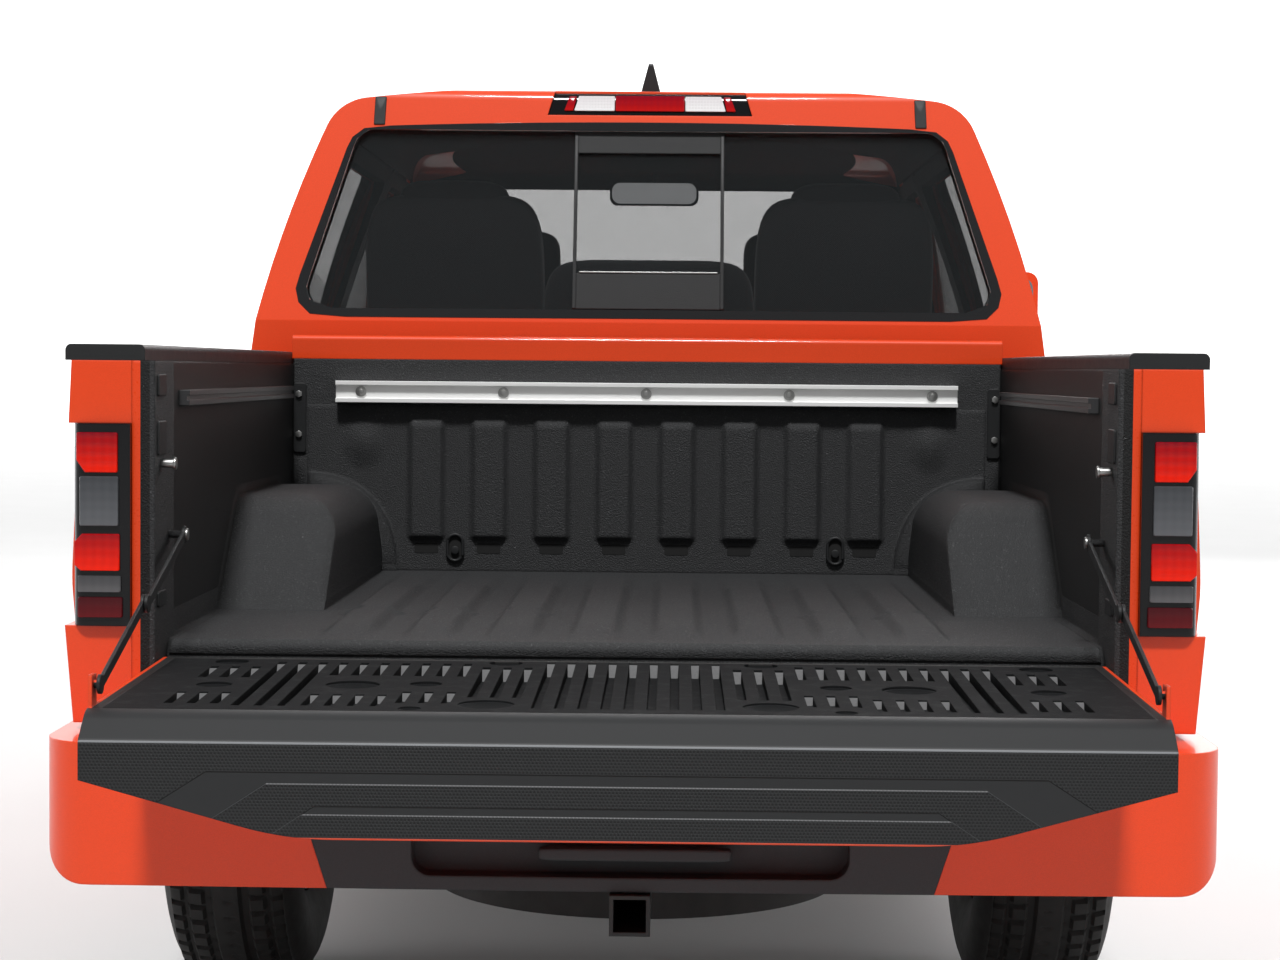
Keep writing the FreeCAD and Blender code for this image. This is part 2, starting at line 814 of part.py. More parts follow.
def pair(item):
    """A piece and its mirror image, kept as one."""
    return group(item, mirrored(item))


def node(label, item):
    """Name a finished sub-part; its label is its file's name."""
    item.Label = label
    nodes[label] = item
    return item


def make_rails():
    """Two box rails that kick up over the rear axle."""
    front_y = front_axle_y + dim.rail_front_end
    kick_y = front_axle_y - dim.rail_front_kick
    rear_kick_y = rear_axle_y + dim.rail_rear_kick
    end_y = bed_end_y + dim.rail_end_set
    bases = (dim.rail_front_base, dim.rail_mid_base, dim.rail_rear_base)
    front, middle, rear = bases
    run = dim.rail_kick_run
    height = dim.rail_height
    low = [(end_y, rear), (rear_kick_y, rear, dim.rail_round),
           (rear_kick_y + run, middle, dim.rail_round),
           (kick_y - run, middle, dim.rail_round), (kick_y, front, dim.rail_round),
           (front_y, front)]
    high = [(corner[0], corner[1] + height) + tuple(corner[2:]) for corner in reversed(low)]
    return node("frame_rails", pair(prism("YZ", low + high, rail_inner, dim.rail_outer)))


def make_crossmembers():
    """Members that join the rails, with the cradle that carries the lower arms."""
    top = dim.rail_mid_base + dim.rail_height
    half = rail_inner
    base = top - dim.member_height
    front_y = front_axle_y + dim.rail_front_end
    end_y = bed_end_y + dim.rail_end_set
    behind_cab = rear_axle_y + dim.rail_rear_kick + dim.rail_kick_run
    parts = []
    for share in MEMBER_SHARES:
        middle = between(behind_cab, front_axle_y - dim.rail_front_kick - dim.rail_kick_run, share)
        member = block((-half, half), (middle, middle + dim.member_depth), (base, top))
        pass_y = (middle - dim.overrun, middle + dim.member_depth + dim.overrun)
        parts.append(cut(member, rod("Y", (0, axle_z), dim.gearbox_tail_radius + dim.panel_gap,
                                     *pass_y)))
    high = dim.rail_rear_base + dim.rail_height
    high_base = high - dim.member_height
    for start in (end_y, rear_axle_y + dim.axle_case_radius + dim.member_depth):
        parts.append(block((-half, half), (start, start + dim.member_depth), (high_base, high)))
    front_top = dim.rail_front_base + dim.rail_height
    start = front_y - dim.member_depth
    parts.append(block((-half, half), (start, front_y), (front_top - dim.member_height, front_top)))
    cradle = block((-dim.rail_outer, dim.rail_outer),
                   (front_axle_y - dim.cradle_depth / 2, front_axle_y + dim.cradle_depth / 2),
                   (dim.rail_front_base - dim.cradle_drop, dim.rail_front_base))
    dip = block((-half, half),
                (front_axle_y - dim.cradle_depth, front_axle_y + dim.cradle_depth),
                (dim.rail_front_base - dim.cradle_drop / 2, dim.rail_front_base + dim.overrun))
    parts.append(cut(cradle, dip))
    return node("crossmembers", group(*parts))


def make_front_suspension():
    """Upper and lower arms with coil struts, one set on each side."""
    low_z = axle_z - dim.lower_ball_drop
    high_z = dim.rail_front_base + dim.rail_height
    thick = dim.arm_thickness
    eye = dim.arm_eye_radius

    def arm(root_x, root_half, z):
        """A wishbone with the eye for its ball pin."""
        plate = prism("XY", [(root_x, front_axle_y - root_half),
                             (root_x + eye, front_axle_y - root_half, eye / 2),
                             (kingpin_x, front_axle_y - eye), (kingpin_x, front_axle_y + eye),
                             (root_x + eye, front_axle_y + root_half, eye / 2),
                             (root_x, front_axle_y + root_half)], z, z + thick)
        tip = rod("Z", (kingpin_x, front_axle_y), eye, z, z + thick)
        bore = rod("Z", (kingpin_x, front_axle_y), dim.ball_pin_radius + dim.seat_gap, z, z + thick)
        return cut(fused(plate, tip), bore)

    lower = arm(dim.rail_outer, dim.lower_arm_root, low_z - thick)
    upper = arm(rail_inner, dim.upper_arm_root, high_z)
    strut_x = dim.rail_outer + dim.strut_set
    strut = rod("Z", (strut_x, front_axle_y), dim.strut_radius, low_z, dim.strut_top)
    tower = block((rail_inner, strut_x + dim.strut_radius),
                  (front_axle_y - dim.strut_radius, front_axle_y + dim.strut_radius),
                  (dim.strut_top, dim.strut_top + dim.tower_wall))
    leg = block((rail_inner, rail_inner + dim.tower_wall),
                (front_axle_y - dim.strut_radius, front_axle_y + dim.strut_radius),
                (high_z + thick, dim.strut_top))
    hollow = rod("Z", (strut_x, front_axle_y), dim.strut_radius + dim.panel_gap, high_z - thick,
                 high_z + 2 * thick)
    return node("front_suspension", pair(fused(lower, cut(upper, hollow), strut, tower, leg)))


def make_driveline():
    """Gearbox and one shaft along the centre line to the rear axle."""
    start = front_axle_y - dim.engine_rear
    tail = start - dim.gearbox_length
    end = rear_axle_y + dim.axle_nose
    profile = [(end, 0), (end, dim.shaft_radius), (tail, dim.shaft_radius),
               (tail, dim.gearbox_tail_radius),
               (between(start, tail, GEARBOX_SHARES[1]), dim.gearbox_tail_radius),
               (between(start, tail, GEARBOX_SHARES[0]), dim.gearbox_radius),
               (start, dim.gearbox_radius), (start, 0)]
    return node("driveline", turned("Y", (0, 0, axle_z), profile))


def make_engine():
    """One plain block at the engine's place, on the cradle."""
    return node("engine", block((-dim.engine_half_width, dim.engine_half_width),
                                (front_axle_y - dim.engine_rear, front_axle_y + dim.engine_front),
                                (dim.rail_front_base - dim.cradle_drop / 2, dim.engine_top)))


def make_rear_axle():
    """Axle tubes with the bulged case in the middle and a drum at each end."""
    end_x = wheel_x - dim.rim_dish
    start_x = end_x - dim.drum_depth
    half = [(0, dim.axle_case_radius, 0), (dim.axle_case_half / 2, dim.axle_case_radius),
            (dim.axle_case_half + dim.axle_tube_radius, dim.axle_tube_radius),
            (start_x, dim.axle_tube_radius), (start_x, dim.drum_radius),
            (end_x - dim.seat_gap, dim.drum_radius), (end_x - dim.seat_gap, dim.spindle_radius),
            (end_x + dim.rim_disc_thickness, dim.spindle_radius),
            (end_x + dim.rim_disc_thickness, 0), (0, 0)]
    side = turned("X", (0, rear_axle_y, axle_z), half)
    nose = rod("Y", (0, axle_z), dim.gearbox_tail_radius, rear_axle_y,
               rear_axle_y + dim.axle_nose)
    return node("rear_axle", fused(side, mirrored(side), nose))


def make_leaf_springs():
    """Two leaf packs over the axle tubes, each with hangers on its rail."""
    inner = dim.rail_outer + dim.spring_gap
    outer = inner + dim.spring_width
    seat = axle_z + dim.axle_tube_radius
    end_z = seat + dim.spring_arch
    thick = dim.spring_thickness
    front = rear_axle_y + dim.spring_half_span
    rear = rear_axle_y - dim.spring_half_span
    span = dim.spring_half_span
    radius = (span * span + dim.spring_arch * dim.spring_arch) / (2 * dim.spring_arch)
    leaf = prism("YZ", [(rear, end_z, 0, radius), (front, end_z),
                        (front, end_z + thick, 0, -(radius - thick)), (rear, end_z + thick)],
                 inner, outer)
    ends = []
    for y in (front, rear):
        ends.append(rod("X", (y, end_z + thick / 2), dim.spring_eye_radius, dim.rail_outer, outer))
    rear_top = dim.rail_rear_base + dim.rail_height
    for y, low, high in ((front, dim.rail_mid_base + dim.spring_gap, end_z + thick),
                         (rear, end_z, rear_top)):
        ends.append(block((dim.rail_outer, inner),
                          (y - dim.spring_eye_radius, y + dim.spring_eye_radius), (low, high)))
    return node("leaf_springs", pair(fused(leaf, *ends)))


def make_tank():
    """Fuel tank hung under the members, left of the shaft."""
    top = dim.rail_mid_base + dim.rail_height - dim.member_height
    start = rear_axle_y + dim.tank_rear_set
    left = -rail_inner
    right = left + dim.tank_width
    corners = [(left, top - dim.tank_height, dim.tank_round),
               (right, top - dim.tank_height, dim.tank_round), (right, top), (left, top)]
    return node("fuel_tank", prism("XZ", corners, start, start + dim.tank_length))


def make_exhaust():
    """Pipe from the engine through the muffler and over the axle to its end."""
    muffler_y = rear_axle_y + dim.muffler_set
    muffler_end = muffler_y + dim.muffler_length
    height = dim.muffler_height
    muffler = rod("Y", (dim.muffler_x, height), dim.muffler_radius, muffler_y, muffler_end)
    front_pipe = rod("Y", (dim.muffler_x, height), dim.pipe_radius, muffler_end,
                     front_axle_y - dim.engine_rear)
    tail = pipe([(dim.muffler_x, muffler_y, height),
                 (dim.muffler_x, muffler_y - dim.pipe_bend, height),
                 (dim.pipe_outer_x, muffler_y - 3 * dim.pipe_bend, dim.pipe_cross_height),
                 (dim.pipe_outer_x, rear_axle_y + 3 * dim.pipe_bend, dim.pipe_over_axle),
                 (dim.pipe_outer_x, rear_axle_y - 2 * dim.pipe_bend, dim.pipe_over_axle),
                 (dim.pipe_outer_x, rear_axle_y - 5 * dim.pipe_bend, dim.pipe_end_height),
                 (dim.pipe_outer_x, bed_end_y + dim.pipe_end_set, dim.pipe_end_height)],
                dim.pipe_radius, dim.pipe_bend)
    return node("exhaust", fused(muffler, front_pipe, tail))


def pipe(points, radius, bend):
    """A round bar along straight runs joined by tangent arcs."""
    corners = [Vector(*(float(size) for size in point)) for point in points]
    edges = []
    start = corners[0]
    for before, corner, after in zip(corners, corners[1:], corners[2:]):
        back = (before - corner).normalize()
        ahead = (after - corner).normalize()
        reach = float(bend) / math.tan(back.getAngle(ahead) / 2)
        into, out = corner + back * reach, corner + ahead * reach
        distance = math.hypot(reach, float(bend))
        middle = corner + (back + ahead).normalize() * (distance - float(bend))
        edges.append(Part.LineSegment(start, into).toShape())
        edges.append(Part.Arc(into, middle, out).toShape())
        start = out
    edges.append(Part.LineSegment(start, corners[-1]).toShape())
    ring = Part.Wire(Part.makeCircle(float(radius), corners[0], corners[1] - corners[0]))
    solid = doc.addObject("Part::Feature", "Pipe")
    solid.Shape = Part.Wire(edges).makePipeShell([ring], True, True)
    solid.Placement = Placement()
    return solid


def make_spare():
    """Spare wheel that hangs flat under the bed."""
    top = dim.rail_rear_base
    centre = (0, rear_axle_y - dim.spare_set)
    base = top - dim.spare_width
    tyre = rod("Z", centre, dim.spare_radius, base, top)
    dish = rod("Z", centre, dim.spare_rim_radius, base, base + dim.spare_width * 2 / 5)
    return node("spare_wheel", cut(tyre, dish))


def make_hitch():
    """Square receiver under a bar that joins the rails behind the bumper."""
    bar_base = dim.receiver_height + dim.receiver_outer / 2
    bar_top = bar_base + dim.hitch_bar
    start = bed_end_y + dim.rail_end_set
    bar = block((-dim.rail_outer, dim.rail_outer), (start, start + dim.hitch_bar),
                (bar_base, bar_top))
    half = dim.receiver_outer / 2
    tube_start = start + dim.hitch_bar - dim.receiver_length
    tube = block((-half, half), (tube_start, start + dim.hitch_bar), (bar_base - 2 * half, bar_base))
    bore = dim.receiver_bore / 2
    hollow = block((-bore, bore), (tube_start - dim.overrun, start + dim.hitch_bar + dim.overrun),
                   (dim.receiver_height - bore, dim.receiver_height + bore))
    pin = rod("X", (tube_start + dim.receiver_pin_set, dim.receiver_height),
              dim.receiver_pin_radius, -half - dim.overrun, half + dim.overrun)
    plate = block((rail_inner, dim.rail_outer), (start, start + dim.hitch_bar),
                  (bar_top, dim.rail_rear_base))
    return node("hitch_receiver", cut(fused(bar, tube, plate, mirrored(plate)), hollow, pin))


def make_wheel(label, x, y):
    """A tyre and its rim, with the rim's face on the outer side."""
    side = -1 if float(x) < 0 else 1
    r = dim.tyre_radius
    half = dim.tyre_width / 2
    tread = dim.tyre_tread_width / 2
    bead = dim.tyre_bead_width / 2
    shoulder = r - dim.tyre_shoulder_drop
    belly = r - dim.tyre_belly_drop
    ring = dim.rim_radius + dim.seat_gap
    profile = [(-bead, ring), (bead, ring), (half, belly), (half - dim.tyre_shoulder_drop, shoulder),
               (tread, r), (-tread, r), (dim.tyre_shoulder_drop - half, shoulder), (-half, belly)]
    node(f"tyre_{label}", turned("X", (x, y, axle_z), profile))
    rim = dim.rim_radius
    edge = bead - dim.seat_gap
    wall = dim.rim_wall
    well = rim - dim.rim_well_drop
    mount = -dim.rim_dish
    thick = dim.rim_disc_thickness
    hub = dim.rim_hub_radius
    outer = [(-edge, rim), (-edge, rim - wall), (-edge / 2, well - wall), (mount, well - wall),
             (mount, dim.rim_bore_radius), (thick, dim.rim_bore_radius), (thick, hub),
             (edge / 2, well - wall), (edge, rim - wall), (edge, rim), (edge / 2, well),
             (-edge / 2, well)]
    flip = [(corner[0] * side, corner[1]) for corner in outer]
    body = turned("X", (x, y, axle_z), flip)
    windows = []
    for share in SPOKE_SHARES:
        windows.append(rim_window(x, y, share))
    return node(f"rim_{label}", cut(body, *windows))


def rim_window(x, y, share):
    """One opening between two spokes, at a share of the turn."""
    inner, outer = dim.window_inner_radius, dim.window_outer_radius
    half = dim.spoke_width / 2
    slope = math.tan(math.pi / len(SPOKE_SHARES))
    corners = [(inner * slope - half, inner, dim.window_round),
               (outer * slope - half, outer, dim.window_round),
               (half - outer * slope, outer, dim.window_round),
               (half - inner * slope, inner, dim.window_round)]
    sketch = doc.addObject("Sketcher::SketchObject", "Outline")
    draw(sketch, corners)
    solid = doc.addObject("Part::Extrusion", "Window")
    solid.Base = sketch
    solid.DirMode = "Normal"
    solid.Solid = True
    bind(solid, "LengthFwd", dim.tyre_width * 2)
    turn = Rotation(Vector(1, 0, 0), FULL_TURN * share) * FACE_TURNS["YZ"]
    return put(solid, turn, x - dim.tyre_width, y, axle_z)


def make_knuckle(label, side):
    """Upright with ball pins above and below, and the spindle that carries the wheel."""
    x = kingpin_x * side
    half = dim.knuckle_width / 2
    depth = dim.knuckle_depth / 2
    low_z = axle_z - dim.lower_ball_drop
    high_z = dim.rail_front_base + dim.rail_height
    gap = dim.seat_gap
    upright = block((x - half, x + half), (front_axle_y - depth, front_axle_y + depth),
                    (low_z + gap, high_z - gap))
    pins = [rod("Z", (x, front_axle_y), dim.ball_pin_radius, low_z - dim.arm_thickness, low_z + gap),
            rod("Z", (x, front_axle_y), dim.ball_pin_radius, high_z - gap,
                high_z + dim.arm_thickness)]
    face = (wheel_x - dim.rim_dish) * side
    start, end = (x, face - gap * side)
    inner, outer = (start, end) if side > 0 else (end, start)
    disc_start = inner if side < 0 else outer - dim.disc_thickness
    disc_end = disc_start + dim.disc_thickness
    disc = rod("X", (front_axle_y, axle_z), dim.disc_radius, disc_start, disc_end)
    tip = face + dim.rim_disc_thickness * side
    low_x, high_x = (x, tip) if side > 0 else (tip, x)
    spindle = rod("X", (front_axle_y, axle_z), dim.spindle_radius, low_x, high_x)
    return node(f"knuckle_{label}", fused(upright, *pins, disc, spindle))


def make_bed():
    """Ribbed floor, bulkhead, inner walls and hollow wheelhouses in one tub."""
    floor = dim.bed_floor_height
    base = sill_zone_z
    end = bed_end_y + dim.bed_floor_end
    inner = dim.bed_floor_half
    outer = inner + dim.bed_wall
    tops = bed_top - dim.cap_thickness
    wall = block((inner, outer), (end, bed_front_y), (base, tops))
    tub = prism("YZ", [(end, base), (bed_front_y, base), (bed_front_y, floor),
                       (end, floor, dim.floor_edge_round)], -outer, outer)
    bulkhead = block((-inner, inner), (bulkhead_y, bed_front_y),
                     (floor, tops + dim.bulkhead_rise))
    solids = [tub, wall, mirrored(wall), bulkhead]
    shell = wheelhouse(0, base, outer)
    solids += [shell, mirrored(shell)]
    for share in SILL_SHARES:
        y = between(end, bulkhead_y - dim.bed_sill_width, share)
        solids.append(block((-dim.wheelhouse_half, dim.wheelhouse_half),
                            (y, y + dim.bed_sill_width),
                            (dim.rail_rear_base + dim.rail_height, base)))
    pillar = block((dim.pillar_half, outer), (bed_end_y, bed_end_y + dim.pillar_depth),
                   (dim.gate_hinge_height - 2 * dim.hinge_pin_radius, tops))
    stud = rod("X", (bed_end_y + dim.cable_stud_set, dim.cable_stud_height), dim.cable_pin_radius,
               dim.cable_inner_x - dim.cable_gap, dim.pillar_half)
    boss = rod("X", (gate_hinge_y, dim.gate_hinge_height), dim.hinge_pin_radius,
               dim.gate_half - dim.hinge_pin_length + dim.panel_gap, dim.pillar_half)
    solids += [pillar, mirrored(pillar), stud, mirrored(stud), boss, mirrored(boss)]
    inside = wheelhouse(dim.wheelhouse_wall, base - dim.overrun, outer)
    grooves = []
    half = (dim.rib_pitch - dim.rib_width) / 2
    for step in range(-RIB_STEPS, RIB_STEPS + 1):
        x = dim.rib_pitch * step
        grooves.append(block((x - half, x + half), (end - dim.overrun, bulkhead_y - dim.rib_end),
                             (floor - dim.rib_depth, floor + dim.overrun)))
        grooves.append(block((x - half, x + half), (bulkhead_y, bulkhead_y + dim.rib_depth),
                             (floor + dim.bulkhead_rib_base, floor + dim.bulkhead_rib_top)))
    return node("bed_box", cut(fused(*solids), inside, mirrored(inside), *grooves))


def wheelhouse(wall, base, outer):
    """Form of a wheelhouse with rounded edges, cut back by a wall thickness."""
    inner = dim.wheelhouse_half + wall
    top = dim.wheelhouse_top - wall
    foot = dim.wheelhouse_radius - wall
    head = foot - dim.wheelhouse_top_set
    side = prism("YZ", [(rear_axle_y - foot, base), (rear_axle_y + foot, base),
                        (rear_axle_y + foot, dim.bed_floor_height),
                        (rear_axle_y + head, top, dim.wheelhouse_round),
                        (rear_axle_y - head, top, dim.wheelhouse_round),
                        (rear_axle_y - foot, dim.bed_floor_height)], inner, outer)
    face = prism("XZ", [(inner, base), (outer, base), (outer, top),
                        (inner, top, dim.wheelhouse_edge)],
                 rear_axle_y - foot, rear_axle_y + foot)
    return common(side, face)


def make_bed_sides():
    """Outer sides of the bed, as thick as the wall, with arches and flares."""
    inner = dim.bed_floor_half + dim.bed_wall + dim.seat_gap
    tops = bed_top - dim.cap_thickness
    section = [(inner, dim.bed_side_base), (dim.bed_skirt_half, dim.bed_side_base),
               (dim.bed_half, dim.waist_height, dim.waist_round),
               (dim.bed_shoulder_half, tops), (inner, tops)]
    side = prism("XZ", section, bed_end_y, bed_front_y)
    arch = rod("X", (rear_axle_y, axle_z), dim.arch_radius, inner - dim.overrun,
               dim.flare_half + dim.overrun)
    ring = rod("X", (rear_axle_y, axle_z), dim.arch_radius + dim.flare_width,
               dim.bed_skirt_half - dim.flare_width, dim.flare_half)
    keep = block((dim.bed_skirt_half - dim.flare_width, dim.flare_half),
                 (rear_axle_y - dim.arch_radius - dim.flare_width,
                  rear_axle_y + dim.arch_radius + dim.flare_width), (dim.bed_side_base, bed_top))
    tail = block((inner - dim.overrun, dim.flare_half + dim.overrun),
                 (bed_end_y - dim.overrun, bed_end_y + dim.bed_tail_run),
                 (dim.bed_side_base - dim.overrun, dim.bed_tail_base))
    recess = block((inner - dim.overrun, dim.flare_half + dim.overrun),
                   (bed_end_y - dim.overrun, bed_end_y + dim.lamp_back + dim.seat_gap),
                   (dim.lamp_base - dim.seat_gap, dim.lamp_top + dim.seat_gap))
    return node("bed_sides", pair(cut(fused(side, common(ring, keep)), arch, tail, recess)))


def make_bed_caps():
    """Plastic caps along the rails."""
    tops = bed_top - dim.cap_thickness
    corners = [(dim.cap_inner_half, tops), (dim.cap_outer_half, tops),
               (dim.cap_outer_half, bed_top, dim.cap_round),
               (dim.cap_inner_half, bed_top, dim.cap_round)]
    return node("bed_caps", pair(prism("XZ", corners, bed_end_y, bed_front_y)))


def make_bed_lip():
    """Painted lip across the front of the bed."""
    base = bed_top - dim.cap_thickness + dim.bulkhead_rise
    half = dim.cap_inner_half - dim.seat_gap
    corners = [(bulkhead_y, base), (bed_front_y, base),
               (bed_front_y, base + dim.lip_height, dim.cap_round),
               (bulkhead_y, base + dim.lip_height, dim.cap_round)]
    return node("bed_lip", prism("YZ", corners, -half, half))


def make_cargo_rails():
    """Aluminium rail across the bulkhead, and a track along each side wall."""
    top = dim.cargo_rail_top
    base = top - dim.cargo_rail_height
    face = bulkhead_y - dim.cargo_rail_depth
    slot = face + dim.cargo_rail_wall * 2
    front = prism("YZ", [(face, base), (bulkhead_y, base), (bulkhead_y, top), (face, top),
                         (face, top - dim.cargo_rail_lip), (slot, top - dim.cargo_rail_lip),
                         (slot, base + dim.cargo_rail_lip), (face, base + dim.cargo_rail_lip)],
                  -dim.cargo_rail_half, dim.cargo_rail_half)
    wall = dim.bed_floor_half
    inner = wall - dim.side_track_depth
    lip = dim.cargo_rail_lip
    low = base + dim.cargo_rail_lip
    high = low + dim.side_track_height
    middle = inner + dim.cargo_rail_wall
    track = prism("XZ", [(wall, low), (wall, high), (inner, high), (inner, high - lip),
                         (middle, high - lip), (middle, low + lip), (inner, low + lip),
                         (inner, low)],
                  bed_end_y + dim.side_track_rear, bulkhead_y - dim.side_track_front)
    return node("cargo_rails", group(front, track, mirrored(track)))


def gate_solid():
    """The lowered tailgate as one form: flat at the hinge, bulged towards its end."""
    front = gate_hinge_y + dim.gate_lead
    side = [(front, dim.gate_base), (front, dim.gate_top, dim.cap_round),
            (gate_end_y + dim.gate_lip_run, dim.gate_top - dim.gate_droop, dim.gate_lip_run),
            (gate_end_y, dim.gate_top - dim.gate_droop - dim.gate_lip_drop, dim.cap_round),
            (gate_end_y, dim.gate_bulge_base, dim.cap_round),
            (gate_end_y + dim.gate_bulge_round, dim.gate_bulge_base, dim.cap_round),
            (gate_end_y + dim.gate_bulge_run, dim.gate_base, dim.gate_bulge_round)]
    half = dim.gate_half
    bend = half - dim.gate_corner_run
    face = [(-half, dim.gate_edge_base), (-bend, dim.gate_belly_base, dim.gate_corner_round),
            (bend, dim.gate_belly_base, dim.gate_corner_round), (half, dim.gate_edge_base),
            (half, dim.gate_top + dim.overrun), (-half, dim.gate_top + dim.overrun)]
    return common(prism("YZ", side, -half, half),
                  prism("XZ", face, gate_end_y - dim.overrun, front + dim.overrun))


def make_tailgate():
    """Painted shell of the tailgate, its inner liner and the cap on its top edge."""
    cap_y = gate_end_y + dim.gate_cap_depth
    top = dim.gate_top
    front = gate_hinge_y + dim.gate_lead
    half = dim.gate_half
    over = dim.overrun
    liner_zone = block((-dim.liner_half, dim.liner_half), (cap_y, front - dim.gate_lead),
                       (top - dim.gate_droop - dim.liner_thickness, top + over))
    cap_zone = block((-half - over, half + over), (gate_end_y - over, cap_y),
                     (dim.gate_bulge_base + dim.gate_skin, top + over))
    pin = rod("X", (gate_hinge_y, dim.gate_hinge_height), dim.hinge_pin_radius + dim.seat_gap,
              half - dim.hinge_pin_length, half + over)
    whole = gate_solid()
    end_z = dim.cable_end_height
    end_y = bed_end_y - dim.cable_end_set
    stud_x = dim.cable_inner_x + dim.cable_thickness * 2 + dim.cable_gap * 2
    stud = rod("X", (end_y, end_z), dim.cable_pin_radius, stud_x, half)
    ear = block((stud_x + dim.cable_thickness, half),
                (end_y - dim.cable_eye_radius, end_y + dim.cable_eye_radius),
                (dim.gate_base + dim.gate_lip_drop, end_z + dim.cable_eye_radius))
    shell = cut(whole, liner_zone, cap_zone, pin, mirrored(pin))
    studs = fused(stud, ear)
    node("tailgate", fused(shell, studs, mirrored(studs)))
    depth = top - dim.gate_droop - dim.liner_slot_depth
    slots = []
    for first, last, ahead, behind in SLOT_GROUPS:
        for step in range(first, last + 1):
            x = dim.slot_pitch * step
            slot = block((x - dim.slot_width / 2, x + dim.slot_width / 2),
                         (between(front, cap_y, behind), between(front, cap_y, ahead)),
                         (depth, top + over))
            slots += [slot, mirrored(slot)] if step else [slot]
    for step, place, reach in LINER_CUPS:
        cup = rod("Z", (dim.slot_pitch * step, between(front, cap_y, place)),
                  dim.cup_radius * reach, depth, top + over)
        slots += [cup, mirrored(cup)]
    node("tailgate_liner", cut(common(whole, liner_zone), *slots))
    node("tailgate_cap", common(whole, cap_zone))


def link(x, start, end):
    """A flat strap in a plane across X, with an eye at each end."""
    run = Vector(0, float(end[0] - start[0]), float(end[1] - start[1]))
    thick = dim.cable_thickness
    angle = math.degrees(math.atan2(run.z, run.y))
    strap = doc.addObject("Part::Box", "Strap")
    bind(strap, "Length", thick)
    bind(strap, "Height", dim.cable_width)
    strap.Width = run.Length
    across = Rotation(Vector(1, 0, 0), angle)
    corner = across.multVec(Vector(0, 0, -float(dim.cable_width) / 2))
    strap.Placement = Placement(Vector(float(x), float(start[0]), float(start[1])) + corner, across)
    eyes = [rod("X", end, dim.cable_eye_radius, x, x + thick) for end in (start, end)]
    return fused(strap, *eyes)


def make_cables():
    """Support straps in two folding halves on each side."""
    inner_x = dim.cable_inner_x
    next_x = inner_x + dim.cable_thickness + dim.cable_gap
    stud = (bed_end_y + dim.cable_stud_set, dim.cable_stud_height)
    foot = (bed_end_y - dim.cable_end_set, dim.cable_end_height)
    fold = (between(stud[0], foot[0], FOLD_SHARE), between(stud[1], foot[1], FOLD_SHARE))
    bore = dim.cable_pin_radius + dim.seat_gap
    over = dim.overrun
    upper = cut(link(inner_x, stud, fold), rod("X", stud, bore, inner_x - over, inner_x + over))
    pin = rod("X", fold, dim.cable_pin_radius, inner_x, next_x + dim.cable_thickness)
    lower = cut(link(next_x, fold, foot), rod("X", fold, bore, next_x - over, next_x + over))
    node("tailgate_cable_upper", pair(fused(upper, pin)))
    node("tailgate_cable_lower", pair(lower))


def make_rear_bumper():
    """Painted bumper that wraps round the corners, and the plastic step in its middle."""
    half = dim.body_half
    back = bed_end_y - dim.bumper_reach
    wall = dim.bumper_wall
    inner_y = bed_end_y - dim.bumper_inset
    side_y = bed_end_y + dim.bumper_wrap
    corners = [(-half, side_y), (-half, back + dim.bumper_inset, dim.bumper_round),
               (0, back), (half, back + dim.bumper_inset, dim.bumper_round),
               (half, side_y), (half - wall, side_y),
               (half - wall, inner_y, dim.bumper_round / 2),
               (wall - half, inner_y, dim.bumper_round / 2), (wall - half, side_y)]
    shell = prism("XY", corners, dim.bumper_base, dim.bumper_top)
    low, high = dim.step_half_low, dim.step_half_high
    over = dim.overrun

    def step_zone(grow):
        """Middle zone of the bumper, with slanted sides."""
        return prism("XZ", [(-low - grow, dim.bumper_base - over), (low + grow, dim.bumper_base - over),
                            (high + grow, dim.bumper_top + over),
                            (-high - grow, dim.bumper_top + over)],
                     back - over, back + dim.step_depth + grow)

    bracket = block((rail_inner, dim.rail_outer), (inner_y, bed_end_y + dim.rail_end_set),
                    (dim.rail_rear_base, dim.bumper_top - dim.bumper_inset))
    ends = dim.bumper_end_round
    rounding = prism("XZ", [(-half, dim.bumper_base, ends), (half, dim.bumper_base, ends),
                            (half, dim.bumper_top), (-half, dim.bumper_top)],
                     back - over, side_y + over)
    painted = common(shell, rounding)
    node("rear_bumper", cut(fused(painted, bracket, mirrored(bracket)), step_zone(dim.seat_gap)))
    pocket_half = dim.plate_pocket_half
    ends = dim.plate_pocket_round
    pocket = prism("XZ", [(-pocket_half, dim.plate_pocket_base, ends),
                          (pocket_half, dim.plate_pocket_base, ends),
                          (pocket_half, dim.plate_pocket_top, ends),
                          (-pocket_half, dim.plate_pocket_top, ends)],
                   back - over, back + dim.plate_pocket_depth)
    height = (dim.plate_pocket_base + dim.plate_pocket_top) / 2
    hole = rod("Y", (dim.plate_hole_spacing / 2, height), dim.plate_hole_radius,
               back, back + dim.plate_pocket_depth + dim.plate_hole_depth)
    return node("bumper_step", cut(common(painted, step_zone(0)), pocket, hole,
                                   mirrored(hole)))


def make_tail_lamps():
    """Upright lamps in the rear corners of the bed."""
    outer = dim.body_half - dim.lamp_inset
    inner = dim.bed_floor_half + dim.bed_wall + dim.seat_gap
    front = bed_end_y + dim.lamp_back
    corners = [(inner, front), (inner, bed_end_y - dim.lamp_bulge),
               (outer, bed_end_y - dim.lamp_bulge, dim.lamp_round), (outer, front)]
    lamp = prism("XY", corners, dim.lamp_base, dim.lamp_top)
    high_lamp = common(high_lamp_zone(0), cab_form(dim.high_lamp_sink))
    return node("tail_lamps", group(lamp, mirrored(lamp), high_lamp))


